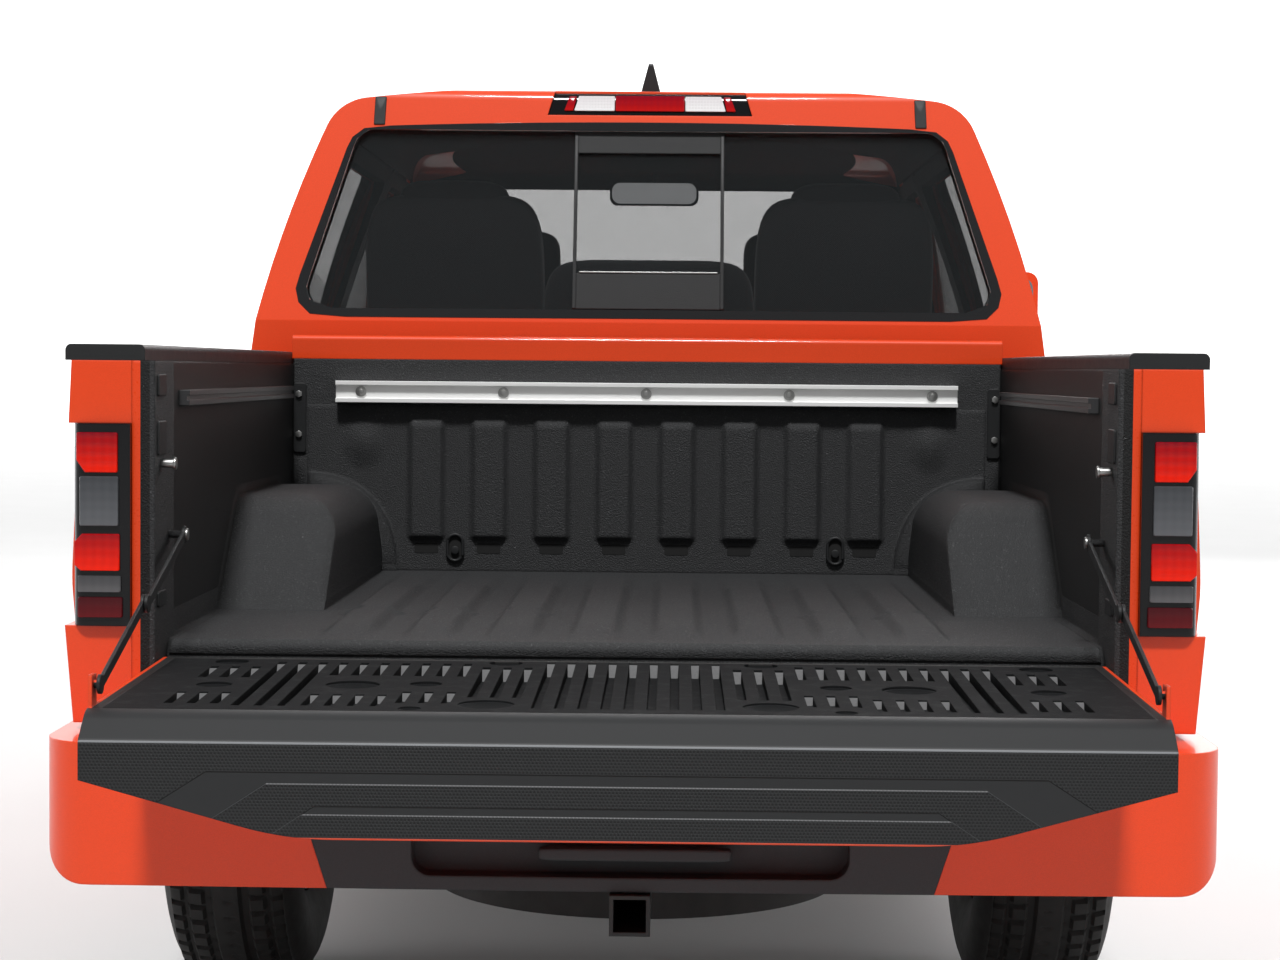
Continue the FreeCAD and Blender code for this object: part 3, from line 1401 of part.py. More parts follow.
def high_lamp_zone(grow):
    """Recess for the high brake lamp in the back edge of the roof."""
    high = dim.high_lamp_half + grow
    taper = dim.high_lamp_taper
    top = dim.roof_top
    base = dim.roof_rear_height - dim.high_lamp_height - grow
    return prism("XZ", [(-high, base), (high, base), (high - taper, top), (taper - high, top)],
                 cab_rear_y, front_axle_y - dim.roof_rear_set + dim.high_lamp_depth + grow)


def bow_radius(half_chord, rise):
    """Radius of the arc that rises by that much over a chord."""
    return (half_chord * half_chord + rise * rise) / (2 * rise)


def side_corners(side_cut, base):
    """Half of the front view up to the belt: sill, flat band and shoulder."""
    return [(dim.sill_half - side_cut, base),
            (dim.body_half - side_cut, dim.band_base, dim.band_round),
            (dim.body_half - side_cut, dim.band_top, dim.band_round),
            (dim.belt_half - side_cut, dim.belt_height)]


def whole_outline(right, crown_bow):
    """Mirror the right half of a front view and close it over the crown."""
    left = []
    for index in range(len(right) - 1, -1, -1):
        corner = right[index]
        bow = right[index - 1][3] if index and len(right[index - 1]) > 3 else 0
        rounding = corner[2] if len(corner) > 2 else 0
        left.append((-corner[0], corner[1], rounding, bow))
    last = right[-1]
    top = (last[0], last[1], last[2] if len(last) > 2 else 0, crown_bow)
    return right[:-1] + [top] + left


def cab_section(side_cut, upper_cut, top_cut, base):
    """Front view of the cab, cut back from its outer skin by wall thicknesses."""
    right = side_corners(side_cut, base)
    glass_half_chord = (dim.roof_edge_height - dim.belt_height) / 2
    bow = bow_radius(glass_half_chord, dim.glass_bow)
    if float(side_cut) == float(upper_cut):
        right[-1] = right[-1] + (0, bow)
    else:
        right.append((dim.belt_half - upper_cut, dim.belt_height, 0, bow))
    edge = dim.roof_edge_half - upper_cut
    right.append((edge, dim.roof_edge_height - top_cut, dim.roof_side_round))
    return whole_outline(right, bow_radius(edge, dim.roof_top - dim.roof_edge_height))


def cab_profile(front_cut, top_cut, rear_cut, base):
    """Side view of the cab, cut back from its outer skin by wall thicknesses."""
    def y(distance):
        """Place that far behind the front axle."""
        return front_axle_y - distance
    return [(cab_rear_y + rear_cut, base),
            (cab_front_y - front_cut, base),
            (cab_front_y - front_cut, dim.cowl_height - dim.cowl_shelf),
            (y(dim.cowl_set) - front_cut, dim.cowl_height - dim.cowl_shelf),
            (y(dim.cowl_set) - front_cut, dim.cowl_height - top_cut),
            (y(dim.screen_top_set) - top_cut, dim.screen_top_height - top_cut, dim.roof_round * 3),
            (y(dim.roof_peak_set), dim.roof_top - top_cut, dim.roof_round * 4),
            (y(dim.roof_rear_set) + rear_cut, dim.roof_rear_height - top_cut, dim.roof_round / 2),
            (cab_rear_y + rear_cut, dim.belt_height)]


def door_outline(front, rear, top_front, top_rear, grow):
    """Side view of one door, grown by a gap on every edge."""
    return [(rear[0] - grow, dim.door_base - grow, dim.door_corner_round),
            (front[0] + grow, dim.door_base - grow, dim.door_corner_round),
            (front[0] + grow, front[1]),
            (top_front[0] + grow, top_front[1] + grow),
            (top_rear[0] - grow, top_rear[1] + grow),
            (rear[0] - grow, rear[1])]


def door_shapes(label):
    """The corners that set one door's outline: hinge side, far side and the two top corners."""
    split = front_axle_y - dim.door_split_set
    belt = dim.belt_height
    if label == "front":
        hinge = (front_axle_y - dim.door_front_set, belt - dim.a_pillar_width)
        far = (split + dim.panel_gap, belt)
        rise = dim.door_top - hinge[1]
        slope = (dim.screen_top_set - dim.cowl_set) / (dim.screen_top_height - dim.cowl_height)
        top_front = (hinge[0] - rise * slope, dim.door_top)
        top_far = (far[0] + dim.door_lean, dim.door_top)
    else:
        hinge = (split, belt)
        far = (front_axle_y - dim.door_rear_set, belt)
        top_front = (split + dim.door_lean, dim.door_top)
        top_far = (far[0] + dim.c_pillar_lean, dim.door_top)
    return hinge, far, top_front, top_far


def door_solid(label, grow):
    """A door's volume: a thin outer slab over a narrower inner part.

    With grow set to the panel gap, the same form is the opening that it closes.
    """
    hinge, far, top_front, top_far = door_shapes(label)
    flange = dim.door_flange
    over = dim.overrun
    wide = prism("YZ", door_outline(hinge, far, top_front, top_far, grow), 0,
                 dim.body_half + over)
    narrow = prism("YZ", door_outline(hinge, far, top_front, top_far, grow - flange), 0,
                   dim.body_half + over)
    slab = dim.door_slab + grow
    base = dim.door_base - over
    start, end = cab_rear_y, cab_front_y
    deep = prism("XZ", cab_section(slab, slab, slab, base - over), start - over, end + over)
    core = block((-over, dim.sill_half - dim.cab_wall - grow), (start, end),
                 (base - over, dim.belt_height))
    return cut(fused(cut(wide, deep), narrow), core)


def window_outline(label, grow):
    """Side view of a door's window."""
    hinge, far, top_front, top_far = door_shapes(label)
    frame = dim.window_frame
    base = dim.belt_height + dim.window_sill - grow
    slope = (top_front[0] - hinge[0]) / (top_front[1] - hinge[1])
    front_base = hinge[0] + slope * (base - hinge[1]) - frame
    return [(far[0] + frame - grow, base, dim.window_corner / 2),
            (front_base + grow, base, dim.window_corner / 2),
            (top_front[0] - frame + grow, top_front[1] - frame + grow, dim.window_corner),
            (top_far[0] + frame - grow, top_far[1] - frame + grow, dim.window_corner)]


def cab_form(cut_back):
    """The cab as one solid form, cut back on all sides by that much."""
    side = dim.body_half + dim.overrun
    return common(prism("XZ", cab_section(cut_back, cut_back, cut_back, dim.cab_base),
                        cab_rear_y - dim.overrun, front_axle_y),
                  prism("YZ", cab_profile(cut_back, cut_back, cut_back, dim.cab_base),
                        -side, side))


def roof_strip(grow):
    """Zone of the black strip along the right of the roof."""
    middle = dim.body_half - dim.strip_inset
    half = dim.strip_width / 2 + grow
    zone = block((middle - half, middle + half),
                 (front_axle_y - dim.roof_rear_set, front_axle_y - dim.screen_top_set),
                 (dim.roof_edge_height - dim.overrun, dim.roof_top))
    return cut(common(zone, cab_form(0)), cab_form(dim.strip_depth + grow))


def make_roof_strips():
    """Black strips set into the roof above the doors."""
    return node("roof_strips", pair(roof_strip(0)))


def make_antenna():
    """Fin antenna on the back of the roof."""
    half = dim.antenna_half
    base = dim.roof_rear_height - dim.overrun
    top = dim.roof_top + dim.antenna_height
    rear = front_axle_y - dim.roof_rear_set + dim.antenna_set
    tip = dim.antenna_tip
    side = prism("YZ", [(rear, base), (rear + dim.antenna_length, base),
                        (rear + dim.antenna_length, dim.roof_top),
                        (rear + 2 * tip, top, tip), (rear + tip / 2, top, tip / 3)], -half, half)
    face = prism("XZ", [(-half, base), (half, base), (half, dim.roof_top - tip, tip * 2),
                        (tip / 4, top), (-tip / 4, top), (-half, dim.roof_top - tip, tip * 2)],
                 rear, rear + dim.antenna_length)
    return node("roof_antenna", cut(common(side, face), cab_form(-dim.seat_gap)))


def cab_shell():
    """The cab's walls, roof and floor, before doors and windows are cut."""
    over = dim.overrun
    front = front_axle_y - dim.cowl_set + over
    outer = common(prism("XZ", cab_section(0, 0, 0, dim.cab_base), cab_rear_y - over, front),
                   prism("YZ", cab_profile(0, 0, 0, dim.cab_base), -dim.body_half - over,
                         dim.body_half + over))
    inner = common(prism("XZ", cab_section(dim.cab_wall, dim.frame_wall, dim.roof_wall,
                                           dim.cab_floor), cab_rear_y - over, front),
                   prism("YZ", cab_profile(dim.firewall, dim.roof_wall, dim.rear_wall,
                                           dim.cab_floor), -dim.body_half - over,
                         dim.body_half + over))
    return cut(outer, inner)


def screen_outline(grow):
    """Front view of the windscreen opening."""
    base = dim.cowl_height + dim.screen_frame - grow
    top = dim.screen_top_height - dim.screen_frame + grow
    low = dim.belt_half - 2 * dim.screen_frame + grow + 0
    high = dim.roof_edge_half - dim.screen_frame + grow
    return [(-low, base, dim.window_corner), (low, base, dim.window_corner),
            (high, top, dim.window_corner), (-high, top, dim.window_corner)]


def backlight_outline(grow):
    """Rear view of the back window opening."""
    base, top = dim.backlight_base - grow, dim.backlight_top + grow
    low, high = dim.backlight_base_half + grow, dim.backlight_top_half + grow
    return [(-low, base, dim.backlight_round), (low, base, dim.backlight_round),
            (high, top, dim.backlight_round), (-high, top, dim.backlight_round)]


def hinge_halves(axis, centre, start, back, ahead):
    """The two stacked barrels of a hinge, each with a leaf to its own side.

    The axis is Z on a door and X on the hood.  The centre is given in the other two
    directions, and back and ahead are the boxes' far edges, one for each leaf.
    """
    length = dim.hinge_length
    radius = dim.hinge_radius
    first = rod(axis, centre, radius, start, start + length)
    second = rod(axis, centre, radius, start + length + dim.seat_gap, start + 2 * length)
    return (fused(first, back(start, start + length)),
            fused(second, ahead(start + length + dim.seat_gap, start + 2 * length)))


def door_hinges(label):
    """Hinges in the gap ahead of a door: the pillar's halves and the door's halves."""
    hinge = door_shapes(label)[0]
    y = hinge[0] + dim.panel_gap / 2
    x = dim.body_half
    half = dim.hinge_leaf / 2

    def pillar_leaf(low, high):
        """Leaf that reaches back into the pillar."""
        return block((x - dim.hinge_reach, x), (y - half, y + half), (low, high))

    def door_leaf(low, high):
        """Leaf that holds the door."""
        return block((x - dim.hinge_reach / 2, x), (y - dim.panel_gap, y + half), (low, high))

    halves = [hinge_halves("Z", (x, y), start, pillar_leaf, door_leaf)
              for start in (dim.band_base + dim.band_round / 2,
                            dim.band_top - dim.band_round)]
    return [pillar for pillar, _ in halves], [door for _, door in halves]


def hood_hinges():
    """Hinges at the back of the hood: the cowl's halves and the hood's halves."""
    y = hood_hinge_y
    z = hood_hinge_z

    def cowl_leaf(low, high):
        """Leaf that lies on the cowl."""
        return block((low, high), (y - dim.panel_gap, y), (z - dim.hinge_leaf, z))

    def hood_leaf(low, high):
        """Leaf that turns down into the hood."""
        return block((low, high), (y, y + dim.panel_gap), (z - 3 * dim.hinge_radius, z))

    fixed, moving = hinge_halves("X", (y, z), dim.hood_hinge_x, cowl_leaf, hood_leaf)
    return [fixed, mirrored(fixed)], [moving, mirrored(moving)]


def make_cab(shell):
    """Cab body with its pillars, doorways and window openings."""
    openings = []
    for label in ("front", "rear"):
        opening = door_solid(label, dim.panel_gap)
        openings += [opening, mirrored(opening)]
    screen = prism("XZ", screen_outline(0), front_axle_y - dim.screen_top_set,
                   front_axle_y)
    backlight = prism("XZ", backlight_outline(0), cab_rear_y - dim.overrun,
                      cab_rear_y + 2 * dim.rear_wall + dim.backlight_lean)
    inset = dim.mount_rail_inset
    half = dim.sill_half - dim.sill_depth
    tunnel = block((-half, half), (cab_rear_y - dim.overrun, cab_front_y + dim.overrun),
                   (dim.cab_base - dim.overrun, dim.cab_tunnel_top))
    channel = block((rail_inner + inset, dim.rail_outer - inset),
                    (cab_rear_y + dim.rail_round, front_axle_y - dim.rail_front_kick - dim.rail_kick_run
                     - dim.rail_round),
                    (dim.rail_mid_base + dim.rail_height, dim.cab_tunnel_top))
    zone = block((dim.hood_half_rear + dim.seat_gap, dim.body_half),
                 (front_axle_y - dim.door_front_set, front_axle_y - dim.cowl_set + dim.overrun),
                 (dim.cab_base - dim.overrun, dim.hood_rear_height + dim.panel_gap))
    under_fender = cut(zone, nose_inside(dim.panel_gap))
    strip = roof_strip(dim.seat_gap)
    lamp_bed = high_lamp_zone(dim.seat_gap)
    body = cut(shell, *openings, screen, backlight, tunnel, under_fender,
               mirrored(under_fender), strip, mirrored(strip), lamp_bed)
    halves = door_hinges("front")[0] + door_hinges("rear")[0]
    halves += [mirrored(half) for half in halves] + hood_hinges()[0]
    return node("cab_body", fused(body, channel, mirrored(channel), *halves))


def make_cab_glass():
    """Windscreen and back window, each inside its frame."""
    gap = -dim.seat_gap
    over = dim.overrun
    inset = dim.glass_inset
    half = dim.body_half
    front = cut(prism("YZ", cab_profile(-inset, inset, inset, dim.cab_base), -half, half),
                prism("YZ", cab_profile(-inset, inset + dim.screen_glass,
                                        inset + dim.screen_glass, dim.cab_floor), -half - over,
                      half + over))
    screen = common(front, prism("XZ", screen_outline(gap), front_axle_y - dim.screen_top_set,
                                 front_axle_y))
    rear = common(front, prism("XZ", backlight_outline(gap), cab_rear_y - over,
                               cab_rear_y + dim.rear_wall + dim.backlight_lean))
    return node("cab_glass", group(screen, rear))


def door_handle(y):
    """The round cup behind a pull handle, and the handle with its two feet."""
    x, z = dim.body_half, dim.handle_height
    length, height = dim.handle_half_length, dim.handle_half_height
    ends = dim.handle_round
    start, thick = x + dim.handle_stand, dim.handle_thickness
    cup = rod("X", (y, z), dim.cup_recess_radius, x - dim.cup_recess_depth, x + dim.overrun)
    grip = prism("YZ", [(y - length, z - height, ends), (y + length, z - height, ends),
                        (y + length, z + height, ends), (y - length, z + height, ends)],
                 start, start + thick)
    inner = length - 2 * height
    feet = [block((x - thick, start + thick / 2), span, (z - ends, z + ends))
            for span in ((y - length + ends / 2, y - inner), (y + inner, y + length - ends / 2))]
    return cup, (grip, *feet)


def make_doors(shell):
    """Four doors with their windows cut, and the glass of each."""
    sides = {"front": ("door_front", "glass_front"), "rear": ("door_rear", "glass_rear")}
    rear_edges = {"front": front_axle_y - dim.door_split_set,
                  "rear": front_axle_y - dim.door_rear_set}
    gap = dim.seat_gap
    pane_outer = dim.glass_inset
    pane_inner = pane_outer + dim.glass_thickness
    base = dim.cab_base - dim.overrun
    for label, (door_name, glass_name) in sides.items():
        window = prism("YZ", window_outline(label, 0), 0, dim.body_half + dim.overrun)
        cup, handle = door_handle(rear_edges[label] + dim.handle_set)
        panel = cut(common(shell, door_solid(label, 0)), window, cup)
        door = fused(panel, *handle, *door_hinges(label)[1])
        pane = prism("YZ", window_outline(label, -gap), 0, dim.body_half + dim.overrun)
        start, end = cab_rear_y - dim.overrun, cab_front_y + dim.overrun
        sheet_form = cut(prism("XZ", cab_section(pane_outer, pane_outer, pane_outer, base),
                               start, end),
                         prism("XZ", cab_section(pane_inner, pane_inner, pane_inner,
                                                 base - dim.overrun),
                               start - dim.overrun, end + dim.overrun))
        glass = common(pane, sheet_form)
        node(f"{door_name}_right", door)
        node(f"{glass_name}_right", glass)
        node(f"{door_name}_left", mirrored(door))
        node(f"{glass_name}_left", mirrored(glass))


def make_interior_mirror():
    """Mirror on a stalk under the front of the roof."""
    half = dim.interior_mirror_half
    y = front_axle_y - dim.interior_mirror_set
    depth = dim.interior_mirror_depth
    top = dim.interior_mirror_top
    base = top - dim.interior_mirror_height
    glass = prism("XZ", [(-half, base, depth), (half, base, depth), (half, top, depth),
                         (-half, top, depth)], y, y + depth)
    post = rod("Z", (0, y + depth / 2), depth / 3, top - depth, dim.roof_top)
    stalk = common(post, cab_form(dim.roof_wall + dim.seat_gap))
    return node("interior_mirror", fused(glass, stalk))


def make_mirrors():
    """Door mirrors on short arms."""
    y = front_axle_y - dim.mirror_set
    inner = dim.belt_half + dim.panel_gap
    start = inner + dim.mirror_arm
    end = start + dim.mirror_width
    corners = [(start, dim.mirror_base, dim.mirror_round), (end, dim.mirror_base, dim.mirror_round),
               (end, dim.mirror_base + dim.mirror_height, dim.mirror_round),
               (start, dim.mirror_base + dim.mirror_height, dim.mirror_round)]
    head = prism("XZ", corners, y, y + dim.mirror_depth)
    arm = block((inner - dim.mirror_arm, start + dim.mirror_round),
                (y + dim.mirror_round, y + dim.mirror_depth - dim.mirror_round),
                (dim.mirror_base, dim.mirror_base + dim.mirror_arm))
    skin = prism("XZ", cab_section(-dim.seat_gap, -dim.seat_gap, 0, dim.cab_base), y,
                 y + dim.mirror_depth)
    right = node("mirror_right", fused(head, cut(arm, skin)))
    node("mirror_left", mirrored(right))


def nose_section(side_cut, top_cut, base):
    """Front view of the nose where it meets the doors."""
    shoulder = dim.hood_rear_height - dim.shoulder_drop - top_cut
    right = side_corners(side_cut, base)[:-1]
    right.append((dim.fender_shoulder_half - side_cut, shoulder, dim.roof_round))
    right.append((dim.hood_half_rear, dim.hood_rear_height - dim.hood_crown - top_cut))
    return whole_outline(right, bow_radius(dim.hood_half_rear, dim.hood_crown))


def nose_profile(top_cut):
    """Side view of the nose: its rounded front edge; the front view gives the rest."""
    rear = front_axle_y - dim.door_front_set + dim.panel_gap
    front = front_axle_y + dim.nose_front_set + dim.overrun
    edge = front_axle_y + dim.nose_front_set
    top = dim.hood_front_height - top_cut
    chamfer = dim.nose_chamfer
    return [(rear, dim.fender_base), (front, dim.fender_base), (front, top - 2 * chamfer),
            (edge, top - 2 * chamfer), (edge - chamfer / 2, top - chamfer / 2, chamfer),
            (edge - 2 * chamfer, top), (rear, dim.hood_rear_height + dim.overrun / 2 - top_cut)]


def nose_bow():
    """Radius of the front edge seen from above."""
    return bow_radius(dim.body_half - dim.nose_corner / 2, dim.nose_sweep)


def nose_plan(cut_back):
    """Top view of the nose: the front bows back towards its rounded corners."""
    side = dim.body_half + dim.overrun
    rear = front_axle_y - dim.door_front_set - dim.overrun
    front = front_axle_y + dim.nose_front_set - dim.nose_sweep - cut_back
    end = dim.body_half - dim.nose_corner / 2 - cut_back
    rounding = dim.nose_corner_round
    return [(-side, rear), (side, rear), (side, front - dim.nose_corner),
            (end, front, rounding, nose_bow()), (-end, front, rounding),
            (-side, front - dim.nose_corner)]


def nose_form(side_cut, top_cut, front_cut):
    """The nose as one solid, cut back from its skin by wall thicknesses."""
    side = dim.body_half + dim.overrun
    start = front_axle_y - dim.door_front_set
    end = front_axle_y + dim.nose_front_set
    body = leaning_prism(nose_section(side_cut, top_cut, dim.cab_base), start, end, hood_fall)
    upright = prism("XY", nose_plan(front_cut), dim.fender_base, dim.belt_height)
    return common(common(body, prism("YZ", nose_profile(top_cut), -side, side)), upright)


def nose_inside(grow):
    """The space under the fenders' skin, open at the back and below."""
    wall = dim.fender_wall + grow
    return nose_form(wall, wall, wall)


def hood_plan(grow):
    """Top view of the hood."""
    rear = front_axle_y - dim.cowl_set + dim.panel_gap - 2 * grow
    low, high = dim.hood_half_front + grow, dim.hood_half_rear + grow
    bow = nose_bow()
    front = front_axle_y + dim.hood_front_set + grow - low * low / (2 * bow)
    return [(-high, rear), (high, rear), (low, front, 0, bow), (-low, front)]


def hood_dome():
    """Broad raised middle of the hood, which fades out to the front and the back."""
    half, slope = dim.dome_half, dim.dome_shoulder
    crest = dim.hood_rear_height + dim.dome_rise
    root = dim.hood_rear_height - dim.shoulder_drop
    rear = front_axle_y - dim.dome_rear_set
    front = front_axle_y + dim.dome_front_set
    start = front_axle_y - dim.door_front_set

    def skin(y, rise):
        """Height above the centre line of the hood at a place."""
        return dim.hood_rear_height - (y - start) * hood_fall + rise

    section = [(-half, root), (half, root), (half, crest - slope / 2),
               (half - slope, crest, slope), (slope - half, crest, slope),
               (-half, crest - slope / 2)]
    body = leaning_prism(section, start, front, hood_fall)
    run = dim.dome_run
    sink = -dim.dome_rise
    side = [(rear, dim.fender_base), (front, dim.fender_base), (front, skin(front, sink)),
            (front - run, skin(front - run, dim.dome_rise), dim.nose_corner),
            (rear + run, skin(rear + run, dim.dome_rise), dim.nose_corner),
            (rear, skin(rear, sink))]
    return common(body, prism("YZ", side, -half, half))


def grille_outline(grow, edge):
    """Front view of the grille, grown outwards or set in by an edge."""
    high = dim.grille_half + grow - edge
    low = high - dim.grille_taper
    return [(-low, dim.front_bumper_top + edge - grow), (low, dim.front_bumper_top + edge - grow),
            (high, dim.grille_top + grow - edge, dim.grille_round),
            (-high, dim.grille_top + grow - edge, dim.grille_round)]


def headlamp_outline(grow):
    """Front view of the right headlamp, which wraps round the corner."""
    inner = dim.grille_half + dim.panel_gap - grow
    side = dim.body_half + dim.overrun
    base = dim.headlamp_base - grow
    top = dim.grille_top + grow
    return [(inner, base, dim.headlamp_round), (side, base + dim.headlamp_base_rise),
            (side, top - dim.headlamp_outer_fall), (inner, top, dim.headlamp_round)]


def make_nose():
    """Front fenders joined over the grille, and the hood between them."""
    whole = nose_form(0, 0, 0)
    over = dim.overrun
    wall = dim.fender_wall
    side = dim.body_half + over
    arch = rod("X", (front_axle_y, axle_z), dim.arch_radius, dim.sill_half - 3 * wall, side + over)
    wide = prism("XY", hood_plan(dim.panel_gap), dim.hood_front_height - dim.shoulder_drop,
                 dim.belt_height)
    ring = rod("X", (front_axle_y, axle_z), dim.arch_radius + dim.flare_width,
               dim.sill_half - wall, dim.flare_half)
    keep = block((dim.sill_half - wall, dim.flare_half),
                 (cab_front_y + dim.panel_gap, front_axle_y + dim.arch_radius + dim.flare_width),
                 (dim.fender_base, bed_top))
    flare = common(ring, keep)
    bumper_zone = block((-side, side),
                        (front_axle_y + dim.front_bumper_wrap - dim.panel_gap,
                         front_axle_y + dim.front_overhang),
                        (dim.fender_base - over, dim.front_bumper_top + dim.panel_gap))
    reach = dim.hood_half_rear + dim.panel_gap
    cowl_zone = block((-reach, reach), (front_axle_y - dim.door_front_set - over,
                                        front_axle_y - dim.cowl_set + over),
                      (dim.fender_base - over, dim.hood_rear_height + over))
    lamp_start = front_axle_y + dim.support_set + dim.support_depth - dim.seat_gap
    front = front_axle_y + dim.front_overhang
    lamp_zone = prism("XZ", headlamp_outline(dim.panel_gap), lamp_start, front)
    grille_zone = prism("XZ", grille_outline(dim.panel_gap, 0), lamp_start, front)
    shell = cut(whole, nose_inside(0), wide, cowl_zone)
    node("front_fenders", cut(fused(shell, flare, mirrored(flare)), arch, mirrored(arch),
                              bumper_zone, lamp_zone, mirrored(lamp_zone), grille_zone))
    plan = prism("XY", hood_plan(0), dim.hood_front_height - dim.shoulder_drop, dim.belt_height)
    skin = common(fused(whole, hood_dome()), plan)
    hollow = nose_form(0, dim.hood_thickness, -over)
    node("hood", fused(cut(skin, hollow), *hood_hinges()[1]))


def make_front_support():
    """Upright panel between the rails that carries grille, lamps and fenders."""
    y = front_axle_y + dim.support_set
    half = dim.nose_half - dim.front_bumper_wall - dim.panel_gap
    low = block((-half, half), (y, y + dim.support_depth),
                (dim.rail_front_base + dim.rail_height, dim.grille_top))
    wide = block((-dim.body_half, dim.body_half), (y, y + dim.support_depth),
                 (dim.front_bumper_top + dim.panel_gap, dim.grille_top))
    panel = fused(low, common(wide, nose_inside(dim.seat_gap)))
    window_half = dim.grille_half - dim.grille_taper
    window = block((-window_half, window_half), (y - dim.overrun, y + 2 * dim.overrun),
                   (dim.grille_base, dim.grille_top - dim.support_depth))
    return node("front_support", cut(panel, window))


def make_grille():
    """Grille with crossbars in a thick frame that follows the bowed nose."""
    back = front_axle_y + dim.support_set + dim.support_depth
    front = front_axle_y + dim.nose_front_set
    over = dim.overrun
    bar = dim.grille_bar
    frame = common(prism("XZ", grille_outline(0, 0), back, front + over),
                   prism("XY", nose_plan(-bar), dim.front_bumper_top - over,
                         dim.grille_top + over))
    edge = dim.grille_edge
    base, top = dim.front_bumper_top + edge, dim.grille_top - edge
    high = dim.grille_half - edge
    low = high - dim.grille_taper
    slots = []
    for first, last in GRILLE_SHARES:
        wide_low, wide_high = between(low, high, first), between(low, high, last)
        z_low, z_high = between(base, top, first), between(base, top, last)
        ends = dim.slot_round
        slots.append(prism("XZ", [(-wide_low, z_low, ends), (wide_low, z_low, ends),
                                  (wide_high, z_high, ends), (-wide_high, z_high, ends)],
                           front - dim.grille_depth, front + over))
    return node("grille", cut(frame, *slots))


def make_headlamps():
    """Lamps between the grille and the fenders, flush with the nose."""
    back = front_axle_y + dim.support_set + dim.support_depth
    front = front_axle_y + dim.front_overhang
    return node("headlamps", pair(common(nose_form(0, 0, 0),
                                         prism("XZ", headlamp_outline(0), back, front))))


def make_front_bumper():
    """Bumper that wraps round the front corners, with its intake and lamp pockets."""
    half = dim.body_half - dim.front_bumper_inset
    front = front_axle_y + dim.front_overhang
    wall = dim.front_bumper_wall
    over = dim.overrun
    side_y = front_axle_y + dim.front_bumper_wrap
    inner_y = front_axle_y + dim.rail_front_end
    inner = dim.nose_half - wall
    rounding = dim.front_bumper_round
    shoulder = half - dim.front_bumper_corner
    swept = front - dim.front_bumper_sweep
    bow = bow_radius(shoulder, dim.front_bumper_sweep)
    corners = [(-half, side_y), (-inner, side_y), (-inner, inner_y), (inner, inner_y),
               (inner, side_y), (half, side_y), (half, swept - dim.front_bumper_corner, rounding),
               (shoulder, swept, rounding, bow), (-shoulder, swept, rounding),
               (-half, swept - dim.front_bumper_corner, rounding)]
    base, top = dim.front_bumper_base, dim.front_bumper_top
    toe = dim.front_bumper_toe
    profile = [(side_y - over, base), (front - 2 * toe, base, toe), (front, base + 2 * toe, toe),
               (front, top - toe / 2, toe / 2), (front - toe, top), (side_y - over, top)]
    body = common(prism("XY", corners, base, top), prism("YZ", profile, -half, half))
    low, high = dim.intake_half - dim.intake_taper, dim.intake_half
    ends = dim.intake_round
    intake = prism("XZ", [(-low, dim.intake_base, ends), (low, dim.intake_base, ends),
                          (high, dim.intake_top, ends), (-high, dim.intake_top, ends)],
                   front - dim.intake_depth, front + over)
    pocket = rod("Y", (dim.fog_x, dim.fog_height), dim.fog_radius, front_axle_y + dim.fog_set,
                 front)
    return node("front_bumper", cut(body, intake, pocket, mirrored(pocket)))


def steering_wheel():
    """Rim, spokes and hub of the steering wheel on its leaning column."""
    radius = dim.steering_wheel_radius
    grip = dim.steering_wheel_grip
    column = dim.steering_column_radius
    length = dim.steering_column_length
    rim = doc.addObject("Part::Torus", "Grip")
    bind(rim, "Radius1", radius)
    bind(rim, "Radius2", grip)
    hub = doc.addObject("Part::Cylinder", "Column")
    bind(hub, "Radius", column)
    bind(hub, "Height", length)
    spoke = doc.addObject("Part::Box", "Spoke")
    bind(spoke, "Length", 2 * radius)
    bind(spoke, "Width", 2 * column)
    bind(spoke, "Height", grip)
    spoke.Placement = Placement(Vector(-float(radius), -float(column), 0), Rotation())
    wheel = group(fused(rim, hub, spoke))
    turn = Rotation(Vector(1, 0, 0), -RIGHT_ANGLE - float(dim.steering_column_tilt))
    x = -(dim.bench_half_width + dim.console_half) / 2
    return put(wheel, turn, x, front_axle_y - dim.steering_wheel_set, dim.steering_wheel_height)


def seat(x, half, y):
    """A cushion with its leaning back and headrest."""
    floor = dim.cab_floor
    lean = dim.seat_back_lean
    thick = dim.seat_back_thickness
    cushion = block((x - half, x + half), (y, y + dim.seat_depth), (floor, dim.seat_cushion_top))
    back = prism("YZ", [(y, dim.seat_cushion_top), (y + thick, dim.seat_cushion_top),
                        (y + thick - lean, dim.seat_back_top, dim.window_corner),
                        (y - lean, dim.seat_back_top, dim.window_corner)], x - half, x + half)
    wide = dim.headrest_half_width
    rest = prism("XZ", [(x - wide, dim.seat_back_top), (x + wide, dim.seat_back_top),
                        (x + wide, dim.headrest_top, dim.window_corner),
                        (x - wide, dim.headrest_top, dim.window_corner)],
                 y - lean, y - lean + thick)
    return fused(cushion, back, rest)


